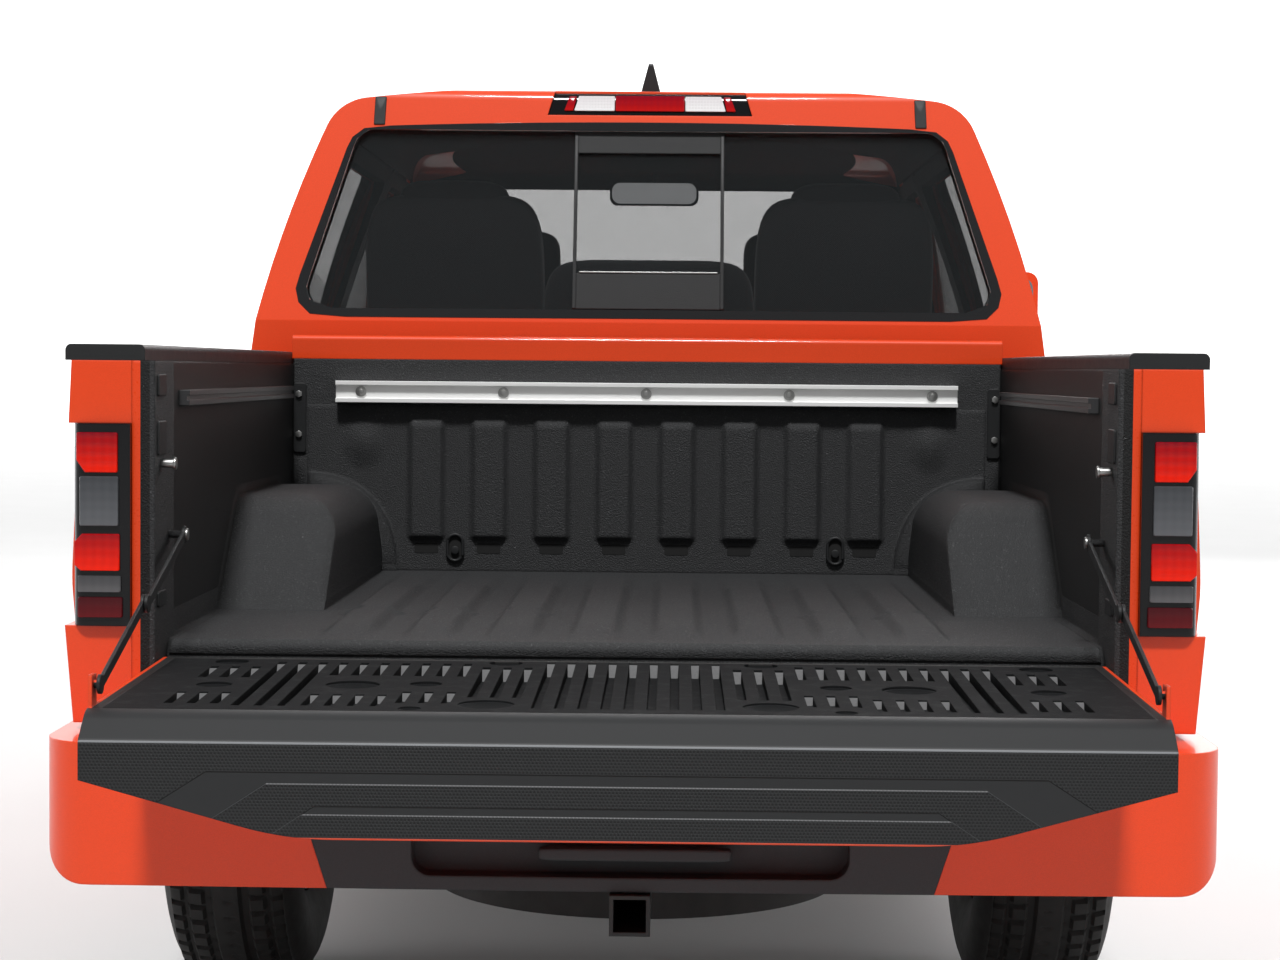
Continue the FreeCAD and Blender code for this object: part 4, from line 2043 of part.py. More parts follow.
def make_interior():
    """Seats, dashboard and steering wheel, as far as they show through the glass."""
    outer, inner = dim.bench_half_width, dim.console_half
    driver = seat((outer + inner) / 2, (outer - inner) / 2,
                  front_axle_y - dim.front_seat_set - dim.seat_depth / 2)
    node("front_seats", pair(driver))
    y = front_axle_y - dim.rear_seat_set
    bench = seat(0, outer, y)
    lean = dim.seat_back_lean
    wide = dim.headrest_half_width
    side = (outer + inner) / 2
    rest = prism("XZ", [(side - wide, dim.seat_back_top), (side + wide, dim.seat_back_top),
                        (side + wide, dim.headrest_top, dim.window_corner),
                        (side - wide, dim.headrest_top, dim.window_corner)],
                 y - lean, y - lean + dim.seat_back_thickness)
    node("rear_seat", fused(bench, rest, mirrored(rest)))
    start = cab_front_y - dim.firewall - dim.dash_depth
    corners = [(start, dim.dash_base), (cab_front_y - dim.firewall, dim.dash_base),
               (cab_front_y - dim.firewall, dim.dash_top),
               (start, dim.dash_top - dim.shoulder_drop, dim.shoulder_drop)]
    dash = prism("YZ", corners, dim.cab_wall - dim.body_half + dim.overrun,
                 dim.body_half - dim.cab_wall - dim.overrun)
    node("dashboard", fused(dash, steering_wheel()))


make_rails()
make_crossmembers()
make_front_suspension()
make_driveline()
make_engine()
make_rear_axle()
make_leaf_springs()
make_tank()
make_exhaust()
make_spare()
make_hitch()
for end, axle_y in (("front", front_axle_y), ("rear", rear_axle_y)):
    for side, x in (("left", -wheel_x), ("right", wheel_x)):
        make_wheel(f"{end}_{side}", x, axle_y)
make_knuckle("left", -1)
make_knuckle("right", 1)
make_bed()
make_bed_sides()
make_bed_caps()
make_bed_lip()
make_cargo_rails()
make_tailgate()
make_cables()
make_rear_bumper()
make_tail_lamps()
walls = cab_shell()
make_cab(walls)
make_cab_glass()
make_doors(walls)
make_mirrors()
make_nose()
make_front_support()
make_grille()
make_headlamps()
make_front_bumper()
make_interior()
make_interior_mirror()
make_roof_strips()
make_antenna()

doc.recompute()
failed = [item for item in doc.Objects if "Invalid" in item.State or "Error" in item.State]
if failed:
    users = [[user.Label for user in item.InListRecursive] for item in failed]
    raise RuntimeError(f"{[item.Label for item in failed]} in {users}")
broken = [label for label, item in nodes.items()
          if item.Shape.isNull() or not item.Shape.isValid()]
if broken:
    raise RuntimeError(f"{broken} have no valid shape")
os.makedirs("parts", exist_ok=True)
for label, item in nodes.items():
    item.Shape.exportStep(f"parts/{label}.step")
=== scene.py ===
"""Finishes, fine pieces and stage for a crew-cab pickup truck with its tailgate lowered.

The CAD frame gives every large form.  This script adds what is small, soft or textured:
treads, seats, bolts, meshes and lenses, and the finishes of all pieces.  Lengths are
in metres, +Y is forward, +X is the truck's right and +Z is up.
"""
import json
import math

import bmesh
import bpy
import numpy as np
from mathutils import Euler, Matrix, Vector


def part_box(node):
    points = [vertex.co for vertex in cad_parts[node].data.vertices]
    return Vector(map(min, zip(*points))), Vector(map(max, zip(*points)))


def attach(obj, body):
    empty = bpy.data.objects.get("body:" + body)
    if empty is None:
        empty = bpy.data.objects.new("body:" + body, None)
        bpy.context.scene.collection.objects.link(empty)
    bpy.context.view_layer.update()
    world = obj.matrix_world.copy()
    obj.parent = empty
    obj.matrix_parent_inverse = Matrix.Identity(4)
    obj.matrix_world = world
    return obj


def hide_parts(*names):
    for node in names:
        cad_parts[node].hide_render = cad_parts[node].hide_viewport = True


bl_info = {
    "name": "Pickup truck finishes",
    "version": (1, 0, 0),
    "blender": (4, 5, 0),
    "location": "View3D > Sidebar > Truck",
    "description": "Fine pieces, finishes and stage for a crew-cab pickup truck",
    "category": "Object",
}

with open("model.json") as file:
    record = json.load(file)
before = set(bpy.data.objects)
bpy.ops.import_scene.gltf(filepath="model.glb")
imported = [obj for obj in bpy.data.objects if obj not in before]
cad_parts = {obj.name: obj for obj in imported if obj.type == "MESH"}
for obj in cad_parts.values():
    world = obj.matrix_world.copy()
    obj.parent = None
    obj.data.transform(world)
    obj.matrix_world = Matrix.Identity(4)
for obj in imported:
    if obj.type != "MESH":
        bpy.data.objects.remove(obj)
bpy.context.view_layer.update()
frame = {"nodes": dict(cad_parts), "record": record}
NODES = frame["nodes"]
BODY_OF = {node: body for body, members in frame["record"]["behaviour"]["bodies"].items()
           for node in members}
TAU = 2 * math.pi


def low(node):
    """Lowest corner of a CAD node."""
    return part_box(node)[0]


def high(node):
    """Highest corner of a CAD node."""
    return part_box(node)[1]


AXLE_Z = high("tyre_rear_right").z / 2
FRONT_Y = (low("tyre_front_right").y + high("tyre_front_right").y) / 2
REAR_Y = (low("tyre_rear_right").y + high("tyre_rear_right").y) / 2
WHEEL_X = (low("tyre_rear_right").x + high("tyre_rear_right").x) / 2
BED_END = low("bed_caps").y
# Depth of the bed from the top of its box to the ribs of its floor
BED_DEPTH = 0.468
FLOOR_Z = high("bed_box").z - BED_DEPTH
BULKHEAD_Y = low("bed_lip").y
SIDES = (("left", -1), ("right", 1))
WHEELS = [(f"{end}_{side}", sign, y) for end, y in (("front", FRONT_Y), ("rear", REAR_Y))
          for side, sign in SIDES]


# ---------------------------------------------------------------- sizes and colours

class TruckLooks(bpy.types.PropertyGroup):
    """Colours and sizes that a user would change."""
    paint: bpy.props.FloatVectorProperty(
        name="Paint", description="Body colour", subtype="COLOR", size=3,
        default=(0.76, 0.055, 0.006))
    liner: bpy.props.FloatVectorProperty(
        name="Liner", description="Colour of the bed liner", subtype="COLOR", size=3,
        default=(0.019, 0.0195, 0.0205))
    plastic: bpy.props.FloatVectorProperty(
        name="Plastic", description="Colour of the black plastic trim", subtype="COLOR", size=3,
        default=(0.012, 0.0125, 0.0132))
    grey: bpy.props.FloatVectorProperty(
        name="Grey plastic", description="Colour of the bumper step", subtype="COLOR", size=3,
        default=(0.035, 0.036, 0.039))
    tint: bpy.props.FloatProperty(
        name="Tint", description="How much light the rear glass holds back", default=0.39,
        min=0.0, max=1.0)
    tread_depth: bpy.props.FloatProperty(
        name="Tread depth", description="Depth of the grooves in the tyres", default=0.009,
        unit="LENGTH", min=0.0, max=0.02)
    tread_blocks: bpy.props.IntProperty(
        name="Tread blocks", description="Blocks round one tyre", default=64, min=20, max=90)
    lens: bpy.props.FloatProperty(
        name="Lens", description="Focal length of the camera in millimetres", default=69.93,
        min=10.0, max=300.0)


def looks():
    """The settings kept on the scene."""
    return bpy.context.scene.truck_looks


# ---------------------------------------------------------------- shader maths

class Wire:
    """A socket of a node tree, with the arithmetic that adds Math nodes."""

    def __init__(self, tree, socket):
        self.tree = tree
        self.socket = socket

    def math(self, operation, *values, clamp=False):
        node = add_node(self.tree, "ShaderNodeMath", {"operation": operation, "use_clamp": clamp},
                        dict(enumerate((self,) + values)))
        return Wire(self.tree, node.outputs[0])

    def __add__(self, other):
        return self.math("ADD", other)

    def __radd__(self, other):
        return self.math("ADD", other)

    def __sub__(self, other):
        return self.math("SUBTRACT", other)

    def __rsub__(self, other):
        return (self * -1) + other

    def __mul__(self, other):
        return self.math("MULTIPLY", other)

    def __rmul__(self, other):
        return self.math("MULTIPLY", other)

    def __truediv__(self, other):
        return self.math("DIVIDE", other)

    def __rtruediv__(self, other):
        return self.math("POWER", -1) * other

    def __pow__(self, other):
        return self.math("POWER", other)

    def __abs__(self):
        return self.math("ABSOLUTE")

    def above(self, edge):
        return self.math("GREATER_THAN", edge)

    def below(self, edge):
        return self.math("LESS_THAN", edge)

    def between(self, first, last):
        return self.above(first) * self.below(last)

    def ramp(self, first, last):
        """Rises from 0 at the first value to 1 at the last."""
        return ((self - first) / (last - first)).math("ADD", 0, clamp=True)


def feed(tree, slot, value):
    """Link a wire to a socket, or set the socket to a plain value."""
    if isinstance(value, Wire):
        tree.links.new(value.socket, slot)
    elif hasattr(slot.default_value, "__len__"):
        values = tuple(value) if hasattr(value, "__len__") else (value,) * 3
        size = len(slot.default_value)
        slot.default_value = (values + (1.0,))[:size] if size == 4 else values[:size]
    else:
        slot.default_value = value


def add_node(tree, kind, settings=None, sockets=None):
    """Add a node: its settings first, then the values or links of its sockets."""
    node = tree.nodes.new(kind)
    for name, value in (settings or {}).items():
        setattr(node, name, value)
    for key, value in (sockets or {}).items():
        feed(tree, node.inputs[key], value)
    return node


def shade(tone, factor):
    """A colour made lighter or darker by that factor."""
    return tuple(part * factor for part in tone)


class Finish:
    """A material with its Principled shader and short ways to add nodes."""

    def __init__(self, name, **values):
        self.material = bpy.data.materials.new(name)
        self.material.use_nodes = True
        self.tree = self.material.node_tree
        self.shader = self.tree.nodes["Principled BSDF"]
        self.coordinates = add_node(self.tree, "ShaderNodeTexCoord")
        self.set(**values)

    def set(self, **values):
        for name, value in values.items():
            feed(self.tree, self.shader.inputs[name.replace("_", " ")], value)

    def node(self, kind, settings=None, output=0, **sockets):
        """Add a node and give one of its outputs."""
        sockets = {name.replace("_", " "): value for name, value in sockets.items()}
        return Wire(self.tree, add_node(self.tree, kind, settings, sockets).outputs[output])

    def place(self):
        """Object coordinates."""
        return Wire(self.tree, self.coordinates.outputs["Object"])

    def axes(self):
        """Object coordinates as three numbers."""
        split = add_node(self.tree, "ShaderNodeSeparateXYZ", None, {0: self.place()})
        return [Wire(self.tree, out) for out in split.outputs]

    def in_cab(self):
        """1 deeper than the skin of the cab, measured from its sides, roof, back and screen."""
        x, y, z = self.axes()
        skin = (0.884 + z.ramp(0.43, 0.69) * 0.041 - z.ramp(1.06, 1.355) * 0.041
                - z.ramp(1.355, 1.862) * 0.169)
        depth = 0.060 - z.above(1.355) * 0.038
        roof = 1.884 - y * y * 0.10 - x * x * 0.09
        rear = z.ramp(1.355, 1.890) * 0.14 - 0.6655
        front = 1.5205 - z.ramp(1.25, 1.83) * 0.70 - z.below(1.25) * 0.10
        return ((skin - depth - abs(x)).above(0) * (roof - z).above(0)
                * (y - rear).above(0) * (front - y).above(0))

    def noise(self, scale, detail=2.0, roughness=0.5):
        return self.node("ShaderNodeTexNoise", None, "Fac", Vector=self.place(), Scale=scale,
                         Detail=detail, Roughness=roughness)

    def cells(self, scale, randomness=1.0):
        return self.node("ShaderNodeTexVoronoi", None, "Distance", Vector=self.place(),
                         Scale=scale, Randomness=randomness)

    def mix(self, factor, first, second):
        """Blend two colours: sockets 6 and 7 take them, and output 2 gives the blend."""
        node = add_node(self.tree, "ShaderNodeMix", {"data_type": "RGBA"},
                        {0: factor, 6: first, 7: second})
        return Wire(self.tree, node.outputs[2])

    def bump(self, height, distance, strength, edge=None):
        """Feed a height to the normal, over edges rounded by that radius."""
        values = {"Height": height, "Distance": distance, "Strength": strength}
        if edge is not None:
            values["Normal"] = self.node("ShaderNodeBevel", {"samples": 4}, 0, Radius=edge)
        self.set(Normal=self.node("ShaderNodeBump", None, 0, **values))

    def soften(self, edge):
        """Round the look of sharp edges by that radius."""
        self.set(Normal=self.node("ShaderNodeBevel", {"samples": 4}, 0, Radius=edge))


# ---------------------------------------------------------------- finishes

PAINT_ROUGHNESS = 0.42
PAINT_COAT = 0.45
BARE_EDGE = (0.012, 0.012, 0.012)
CABIN_LINING = (0.022, 0.0215, 0.021)


def new_paint(name):
    """A clear-coated finish, and its orange that varies a little from flake to flake."""
    paint = Finish(name, Coat_Roughness=0.05, Specular_IOR_Level=0.25)
    colour = tuple(looks().paint)
    lively = tuple(min(1.0, part * 1.06) for part in colour)
    return paint, paint.mix(paint.cells(900.0).ramp(0.0, 0.6), shade(colour, 0.85), lively)


def body_paint():
    """Clear-coated orange with fine flakes; the hinge edge of the tailgate is bare and dark."""
    paint, orange = new_paint("body_paint")
    x, y, z = paint.axes()
    hinge = y.between(BED_END - 0.012, BED_END + 0.06) * abs(x).below(0.745) * z.above(0.60)
    ledge = y.between(-2.82, -2.26) * abs(x).below(0.757) * z.between(0.745, 0.80)
    bare = hinge.math("MAXIMUM", ledge)
    paint.set(Base_Color=paint.mix(bare, orange, BARE_EDGE),
              Roughness=bare * 0.2 + PAINT_ROUGHNESS, Coat_Weight=PAINT_COAT - bare * PAINT_COAT)
    paint.bump(paint.noise(160.0, 1.0), 0.00006, 0.25, edge=0.004)
    return paint.material


def cab_paint():
    """The body paint outside and soft dark trim on the cab's inner faces."""
    paint, orange = new_paint("cab_paint")
    hidden = paint.in_cab()
    weave = paint.noise(700.0, 1.0)
    paint.set(Base_Color=paint.mix(hidden, orange, CABIN_LINING),
              Roughness=hidden * 0.4 + PAINT_ROUGHNESS,
              Coat_Weight=PAINT_COAT - hidden * PAINT_COAT)
    paint.bump(weave * hidden + paint.noise(160.0, 1.0) * 0.12, 0.0003, 0.35, edge=0.004)
    return paint.material


def bed_liner():
    """Sprayed liner with small glossy beads, painted paler as painted glints; smooth and darker on
    the inner side walls, orange on the jambs, with a strip of painted shade for the gap beside
    them.
    """
    grain = Finish("bed_liner", Specular_IOR_Level=0.35)
    x, y, z = grain.axes()
    wall = abs(x).above(0.7785) * y.above(BED_END + 0.155) * z.above(FLOOR_Z + 0.04)
    end = y.below(BED_END + 0.004)
    jamb = abs(x).above(0.7915) * end
    # A near-black strip of painted shade for the gap between the orange jamb and the liner
    gap_shade = abs(x).between(0.7765, 0.7915) * end
    arch = abs(x).between(0.55, 0.79) * y.between(-1.74, -0.80) * z.between(0.815, 1.02)
    crease = abs(z - 0.935 + (y + 1.24) * 0.1).below(0.002) + abs(z - 0.885).below(0.002)
    coarse = grain.cells(330.0)
    fine = grain.noise(650.0, 3.0, 0.7)
    patch = grain.noise(9.0, 3.0).ramp(0.3, 0.7)
    large = grain.cells(130.0).below(0.21) * grain.noise(60.0, 2.0).ramp(0.40, 0.60)
    # Beads are glossier and painted paler: a painted glint on each bead
    glinting_bead = (grain.cells(300.0).below(0.24) * 0.5 + large).math("MINIMUM", 1.0) * (1 - wall)
    tone = tuple(looks().liner)
    pale = shade(tone, 5.0)
    rough = grain.mix(fine.ramp(0.35, 0.75) * 0.22 + glinting_bead * 0.5, tone, pale)
    rough = grain.mix(patch * 0.25, rough, shade(tone, 1.6))
    # Darker side walls, and the near-black painted shade of the gap
    rough = grain.mix((wall + gap_shade).math("MINIMUM", 1.0), rough, shade(tone, 0.25))
    grain.set(Base_Color=grain.mix(jamb, rough, tuple(looks().paint)),
              Roughness=0.62 - glinting_bead * 0.4 - wall * 0.1 - jamb * 0.2)
    grain.bump(((coarse * 0.8 + fine * 0.9) * (1 - wall * 0.85) - crease * arch * 1.6)
               * (1 - jamb), 0.0017, 0.9, edge=arch * 0.045 + 0.007)
    return grain.material


def black_plastic():
    """Moulded trim with a fine leather grain."""
    plastic = Finish("black_plastic", Specular_IOR_Level=0.3)
    grain = plastic.cells(720.0)
    tone = tuple(looks().plastic)
    dust = plastic.noise(2.3, 4.0) * 0.4 + 0.8
    plastic.set(Base_Color=plastic.mix(dust, shade(tone, 0.8), shade(tone, 1.3)),
                Roughness=plastic.noise(40.0) * 0.12 + 0.42)
    plastic.bump(grain, 0.0004, 0.5, edge=0.003)
    return plastic.material


def gate_liner_plastic():
    """Dull moulded liner of the tailgate, with a fine grain and scuffed rib tops."""
    plastic = Finish("gate_liner_plastic", Specular_IOR_Level=0.04)
    scuff = plastic.noise(26.0, 5.0, 0.65).ramp(0.5, 0.75)
    tone = tuple(looks().plastic)
    plastic.set(Base_Color=plastic.mix(scuff * 0.5, tone, shade(tone, 1.8)),
                Roughness=0.72 - scuff * 0.1)
    plastic.bump(plastic.cells(600.0), 0.0004, 0.5, edge=0.003)
    return plastic.material


def hexagons(across, up, pitch):
    """Distance from the nearest cell's middle of a hexagonal grid, 0 to about 1."""
    def grid(shift):
        u = (across / pitch + shift + 100.0).math("FRACT") - 0.5
        v = (up / (pitch * 1.732) + shift + 100.0).math("FRACT") - 0.5
        return (u * u + v * v * 3.0) ** 0.5
    return grid(0.0).math("MINIMUM", grid(0.5)) * 2.0


def gate_cap_plastic():
    """The tailgate's cap: fine hexagons with painted shade in their sunken dimples, and smooth
    sunken bands that step into a trapezoid, edged by painted shadow and highlight lines, with a
    painted highlight along the top rim.
    """
    plastic = Finish("gate_cap_plastic", Specular_IOR_Level=0.35)
    x, y, z = plastic.axes()
    side = abs(x)

    def inside(top, corner, slope):
        """Depth inside a trapezoid that is open below: positive within it."""
        drop = top - z
        return drop.math("MINIMUM", drop * slope + corner - side)

    outer, inner = inside(0.687, 0.584, 1.56), inside(0.671, 0.500, 1.53)
    third, fourth = inside(0.640, 0.433, 1.5), inside(0.628, 0.451, 1.5)
    back = y.below(low("tailgate_cap").y + 0.02)
    sunken = (outer.ramp(0, 0.002) - inner.ramp(0, 0.002)
              + third.ramp(0, 0.002) - fourth.ramp(0, 0.002)) * back
    # Painted shadow lines along the bands' outer edges, and painted highlight lines along their
    # inner edges
    edge = (abs(outer - 0.001).below(0.0011) + abs(third - 0.001).below(0.0011)) * back
    lit = (abs(inner - 0.001).below(0.0009) + abs(fourth - 0.001).below(0.0009)) * back
    cell = hexagons(x, z, 0.0052)
    # A painted highlight line along the cap's top rim
    rim = abs(z - 0.7265).below(0.0014) * back
    # Sunken dimples at the hexagons' middles, painted darker as shade
    shaded_dimple = (1 - cell.ramp(0.5, 0.75)) * (1 - sunken) * back * z.below(0.725)
    tone = tuple(looks().plastic)
    colour = plastic.mix(shaded_dimple, shade(tone, 1.5), shade(tone, 0.35))
    colour = plastic.mix(edge, colour, shade(tone, 0.25))
    colour = plastic.mix(lit, colour, shade(tone, 3.5))
    colour = plastic.mix(rim, colour, shade(tone, 14.0))
    plastic.set(Base_Color=colour, Roughness=0.5 - sunken * 0.08)
    plastic.bump(sunken * -1.0 + shaded_dimple * -0.25 + plastic.noise(700.0) * 0.05, 0.0016, 0.9,
                 edge=0.003)
    return plastic.material


def grey_plastic():
    """Dark grey moulded plastic with a sand grain."""
    plastic = Finish("grey_plastic", Specular_IOR_Level=0.4)
    tone = tuple(looks().grey)
    plastic.set(Base_Color=plastic.mix(plastic.noise(500.0, 2.0), shade(tone, 0.8),
                                       shade(tone, 1.25)), Roughness=0.6)
    plastic.bump(plastic.cells(800.0), 0.0005, 0.5, edge=0.006)
    return plastic.material


def chassis_coat():
    """Black frame coat with a little road dust in its hollows."""
    coat = Finish("chassis_coat", Specular_IOR_Level=0.4)
    dirt = coat.noise(6.0, 6.0, 0.6).ramp(0.5, 0.75)
    coat.set(Base_Color=coat.mix(dirt, (0.018, 0.018, 0.019), (0.06, 0.055, 0.048)),
             Roughness=dirt * 0.3 + 0.42)
    coat.bump(coat.noise(90.0, 4.0), 0.0012, 0.3, edge=0.003)
    return coat.material


def steel():
    """Bare steel with drawn lines."""
    tone = (0.48, 0.48, 0.47)
    metal = Finish("steel", Metallic=1.0)
    lines = metal.noise(240.0, 2.0)
    metal.set(Base_Color=metal.mix(metal.noise(9.0, 4.0), shade(tone, 0.75), tone),
              Roughness=lines * 0.14 + 0.3)
    metal.bump(lines, 0.0002, 0.3, edge=0.0015)
    return metal.material


def rail_aluminium():
    """Satin extrusion with fine lines along its length."""
    metal = Finish("rail_aluminium", Metallic=0.2)
    drawn = add_node(metal.tree, "ShaderNodeVectorMath", {"operation": "MULTIPLY"},
                     {0: metal.place(), 1: (6.0, 900.0, 900.0)})
    lines = metal.node("ShaderNodeTexNoise", None, "Fac", Scale=1.0, Detail=2.0,
                       Vector=Wire(metal.tree, drawn.outputs[0]))
    side = abs(metal.axes()[0]).above(0.72)
    metal.set(Base_Color=metal.mix(side, (0.92, 0.92, 0.91), (0.05, 0.05, 0.052)),
              Roughness=lines * 0.16 + 0.3)
    metal.bump(lines, 0.0002, 0.3, edge=0.0015)
    return metal.material


def glass(name, alpha, tone, screen=0.0):
    """Thin tinted glass; the windscreen loses that share of the tint.

    Where no opacity is given, it is the tint that the user sets.
    """
    alpha = looks().tint if alpha is None else alpha
    pane = Finish(name, Roughness=0.02, IOR=1.5, Specular_IOR_Level=0.6)
    haze = pane.noise(1.4, 3.0)
    ahead = pane.axes()[1].above(0.4) * screen
    pane.set(Base_Color=pane.mix(haze, tone, shade(tone, 1.5)),
             Alpha=(haze * 0.04 + alpha) * (1 - ahead))
    return pane.material


def inner_mirror():
    """Silvered glass with a painted reflection of the pale sky behind the truck; the pane also
    glows a little, though it is no lamp.
    """
    pane = Finish("inner_mirror", Metallic=0.6, Roughness=0.08, Emission_Strength=0.30)
    # Painted reflection: the sky's colour goes into the base colour and into a faint glow
    sky = pane.mix(pane.noise(7.0, 3.0), (0.70, 0.72, 0.74), (0.86, 0.87, 0.88))
    pane.set(Base_Color=sky, Emission_Color=sky)
    return pane.material


def lamp_housing():
    """Black gloss round the lamps' lenses, with a clear outer edge that wraps the corner."""
    shell = Finish("lamp_housing", Coat_Weight=0.15, Coat_Roughness=0.02, Specular_IOR_Level=0.2)
    x, _, z = shell.axes()
    wrap = abs(x).between(0.8935, 1.0) * z.below(1.5)
    shade = shell.noise(30.0, 3.0)
    shell.set(Base_Color=shell.mix(wrap, (0.005, 0.005, 0.006), (0.10, 0.105, 0.11)),
              Roughness=shade * 0.05 + 0.1)
    shell.soften(0.004)
    return shell.material


def lens(name, deep, bright, base, top, ribs=420.0):
    """Lens whose colour runs from deep at its top to bright at its base, over fine ribs."""
    glass_lens = Finish(name, Coat_Weight=0.12, Coat_Roughness=0.02, Specular_IOR_Level=0.15)
    x, _, z = glass_lens.axes()
    share = z.ramp(base, top)
    pattern = ((x * ribs).math("SINE") + (z * ribs).math("SINE")) * 0.25 + 0.5
    tone = glass_lens.mix(share * 0.85 + pattern * 0.15, bright, deep)
    glass_lens.set(Base_Color=tone, Roughness=pattern * 0.08 + 0.1)
    glass_lens.bump(pattern, 0.0008, 0.45)
    return glass_lens.material


def head_lens():
    """Clear lens over a bright bowl, a light bar and a dark bezel."""
    pane = Finish("head_lens", Coat_Weight=1.0, Coat_Roughness=0.02)
    x, _, z = pane.axes()
    side = abs(x)
    bowl = ((side - 0.70) ** 2 + (z - 0.965) ** 2) ** 0.5
    second = ((side - 0.605) ** 2 + (z - 0.965) ** 2) ** 0.5
    bright = (bowl.below(0.052) + second.below(0.034)).math("MINIMUM", 1.0)
    bar = abs(z - 1.03 + (side - 0.55) * 0.09).below(0.007) * side.between(0.545, 0.86)
    colour = pane.mix(bright, (0.022, 0.022, 0.024), (0.72, 0.74, 0.76))
    colour = pane.mix(side.above(0.80) * z.between(0.93, 0.99), colour, (0.75, 0.18, 0.02))
    colour = pane.mix(bar, colour, (0.9, 0.92, 0.95))
    pane.set(Base_Color=colour, Roughness=bowl * 0.8 + 0.06, Metallic=bright * 0.7)
    pane.bump((bowl * 300.0).math("SINE") + (second * 300.0).math("SINE"), 0.0012, 0.35,
              edge=0.006)
    return pane.material


def cloth():
    """Woven seat cloth with a twill line."""
    weave = Finish("seat_cloth", Roughness=0.9, Sheen_Weight=0.3)
    x, y, z = weave.axes()
    twill = ((x + z + y * 0.5) * 1500.0).math("SINE")
    weave.set(Base_Color=weave.mix(twill * 0.5 + 0.5, (0.022, 0.022, 0.024),
                                   (0.05, 0.05, 0.054)))
    weave.bump(twill, 0.0004, 0.5)
    return weave.material


def engine_block():
    """Cast block with a darker plastic cover on top."""
    block = Finish("engine_block", Metallic=0.3)
    _, y, z = block.axes()
    cover = z.above(high("engine").z - 0.12)
    ribs = ((y * 90.0).math("SINE") * 0.5 + 0.5) * (1 - cover)
    block.set(Base_Color=block.mix(cover, (0.3, 0.3, 0.3), (0.02, 0.02, 0.02)),
              Roughness=block.noise(40.0) * 0.2 + 0.45)
    block.bump(ribs + block.cells(120.0) * 0.3, 0.004, 0.6, edge=0.01)
    return block.material


def white_backdrop():
    """Evenly lit white wall behind the truck."""
    wall = Finish("white_backdrop", Roughness=1.0)
    wall.set(Base_Color=(0.8, 0.8, 0.8), Emission_Strength=0.85,
             Emission_Color=wall.mix(wall.noise(0.05), (1.0, 1.0, 1.0), (0.97, 0.97, 0.97)))
    return wall.material


def mottled(name, first, second, spots, rough, grain, values):
    """A plain finish: two tones mixed by a noise, with its roughness and bump.

    Rough is a number, or a noise's scale, its share and the base it adds to.
    """
    finish = Finish(name, **values)
    finish.set(Base_Color=finish.mix(finish.noise(*spots), first, second))
    if isinstance(rough, tuple):
        rough = finish.noise(rough[0]) * rough[1] + rough[2]
    finish.set(Roughness=rough)
    if grain:
        kind, scale, *rest = grain
        height = finish.cells(scale[0]) if kind == "cells" else finish.noise(*scale)
        finish.bump(height, *rest)
    return finish.material


# Key: name, two tones, the noise's scale and detail, roughness, bump (kind, scale, distance,
# strength and radius of the edges), and constant values
MOTTLED = {
    # Smooth plastic of the sloped slot ends, painted lighter than the liner as a painted highlight
    # where it catches the light
    "slot_end": ("slot_end", (0.07, 0.07, 0.072), (0.12, 0.12, 0.123), (220.0, 3.0), 0.38, None,
                 {"Specular_IOR_Level": 0.6}),
    # Sand-cast surface, darker in its pits
    "cast": ("cast_iron", (0.07, 0.066, 0.062), (0.16, 0.15, 0.14), (14.0, 5.0),
             (30.0, 0.2, 0.45), ("cells", (210.0,), 0.0012, 0.5, 0.003), {"Metallic": 0.75}),
    # Dark lacquered wheels
    "alloy": ("alloy", (0.09, 0.09, 0.095), (0.15, 0.15, 0.155), (8.0, 3.0), (60.0, 0.1, 0.3),
              ("noise", (300.0,), 0.0002, 0.2, 0.004),
              {"Metallic": 0.85, "Coat_Weight": 0.6, "Coat_Roughness": 0.06}),
    # Tyre rubber with a dusty bloom
    "tyre": ("rubber", (0.012, 0.012, 0.012), (0.03, 0.029, 0.028), (20.0, 5.0),
             (50.0, 0.2, 0.62), ("noise", (400.0, 3.0), 0.0004, 0.4), {"Specular_IOR_Level": 0.35}),
    # Silvered glass with a faint grey cast
    "mirror": ("mirror_glass", (0.62, 0.64, 0.66), (0.7, 0.72, 0.74), (3.0,), 0.03, None,
               {"Metallic": 1.0}),
    # Soft dark moulding of the dashboard
    "trim": ("cabin_trim", (0.028, 0.028, 0.029), (0.045, 0.045, 0.046), (5.0,),
             (60.0, 0.1, 0.58), ("cells", (420.0,), 0.0008, 0.4, 0.01),
             {"Specular_IOR_Level": 0.35}),
    # Unlit space behind a mesh or under a rib
    "hollow": ("dark_hollow", (0.004, 0.004, 0.004), (0.009, 0.009, 0.009), (90.0,), 0.9, None, {}),
    # Plain pale studio floor
    "floor": ("pale_floor", (0.52, 0.52, 0.52), (0.55, 0.55, 0.55), (1.5,), 0.7, None, {}),
}
MAKERS = {
    "body_paint": body_paint, "cab_paint": cab_paint, "bed_liner": bed_liner,
    "black_plastic": black_plastic, "gate_cap": gate_cap_plastic, "grey_plastic": grey_plastic,
    "chassis": chassis_coat, "steel": steel, "rail_aluminium": rail_aluminium,
    "inner_mirror": inner_mirror, "lamp": lamp_housing, "headlamp": head_lens,
    "gate_liner": gate_liner_plastic, "seat_fabric": cloth, "engine": engine_block,
    "backdrop": white_backdrop,
}
# Opacity, tone and, for the pane that holds the windscreen, the share of tint it loses
GLASSES = {
    "rear_glass": (None, (0.010, 0.012, 0.013), 0.45),
    "front_glass": (0.72, (0.012, 0.016, 0.016)),
    "dark_glass": (0.93, (0.006, 0.007, 0.008)),
    "window_border": (0.96, (0.008, 0.009, 0.010)),
}
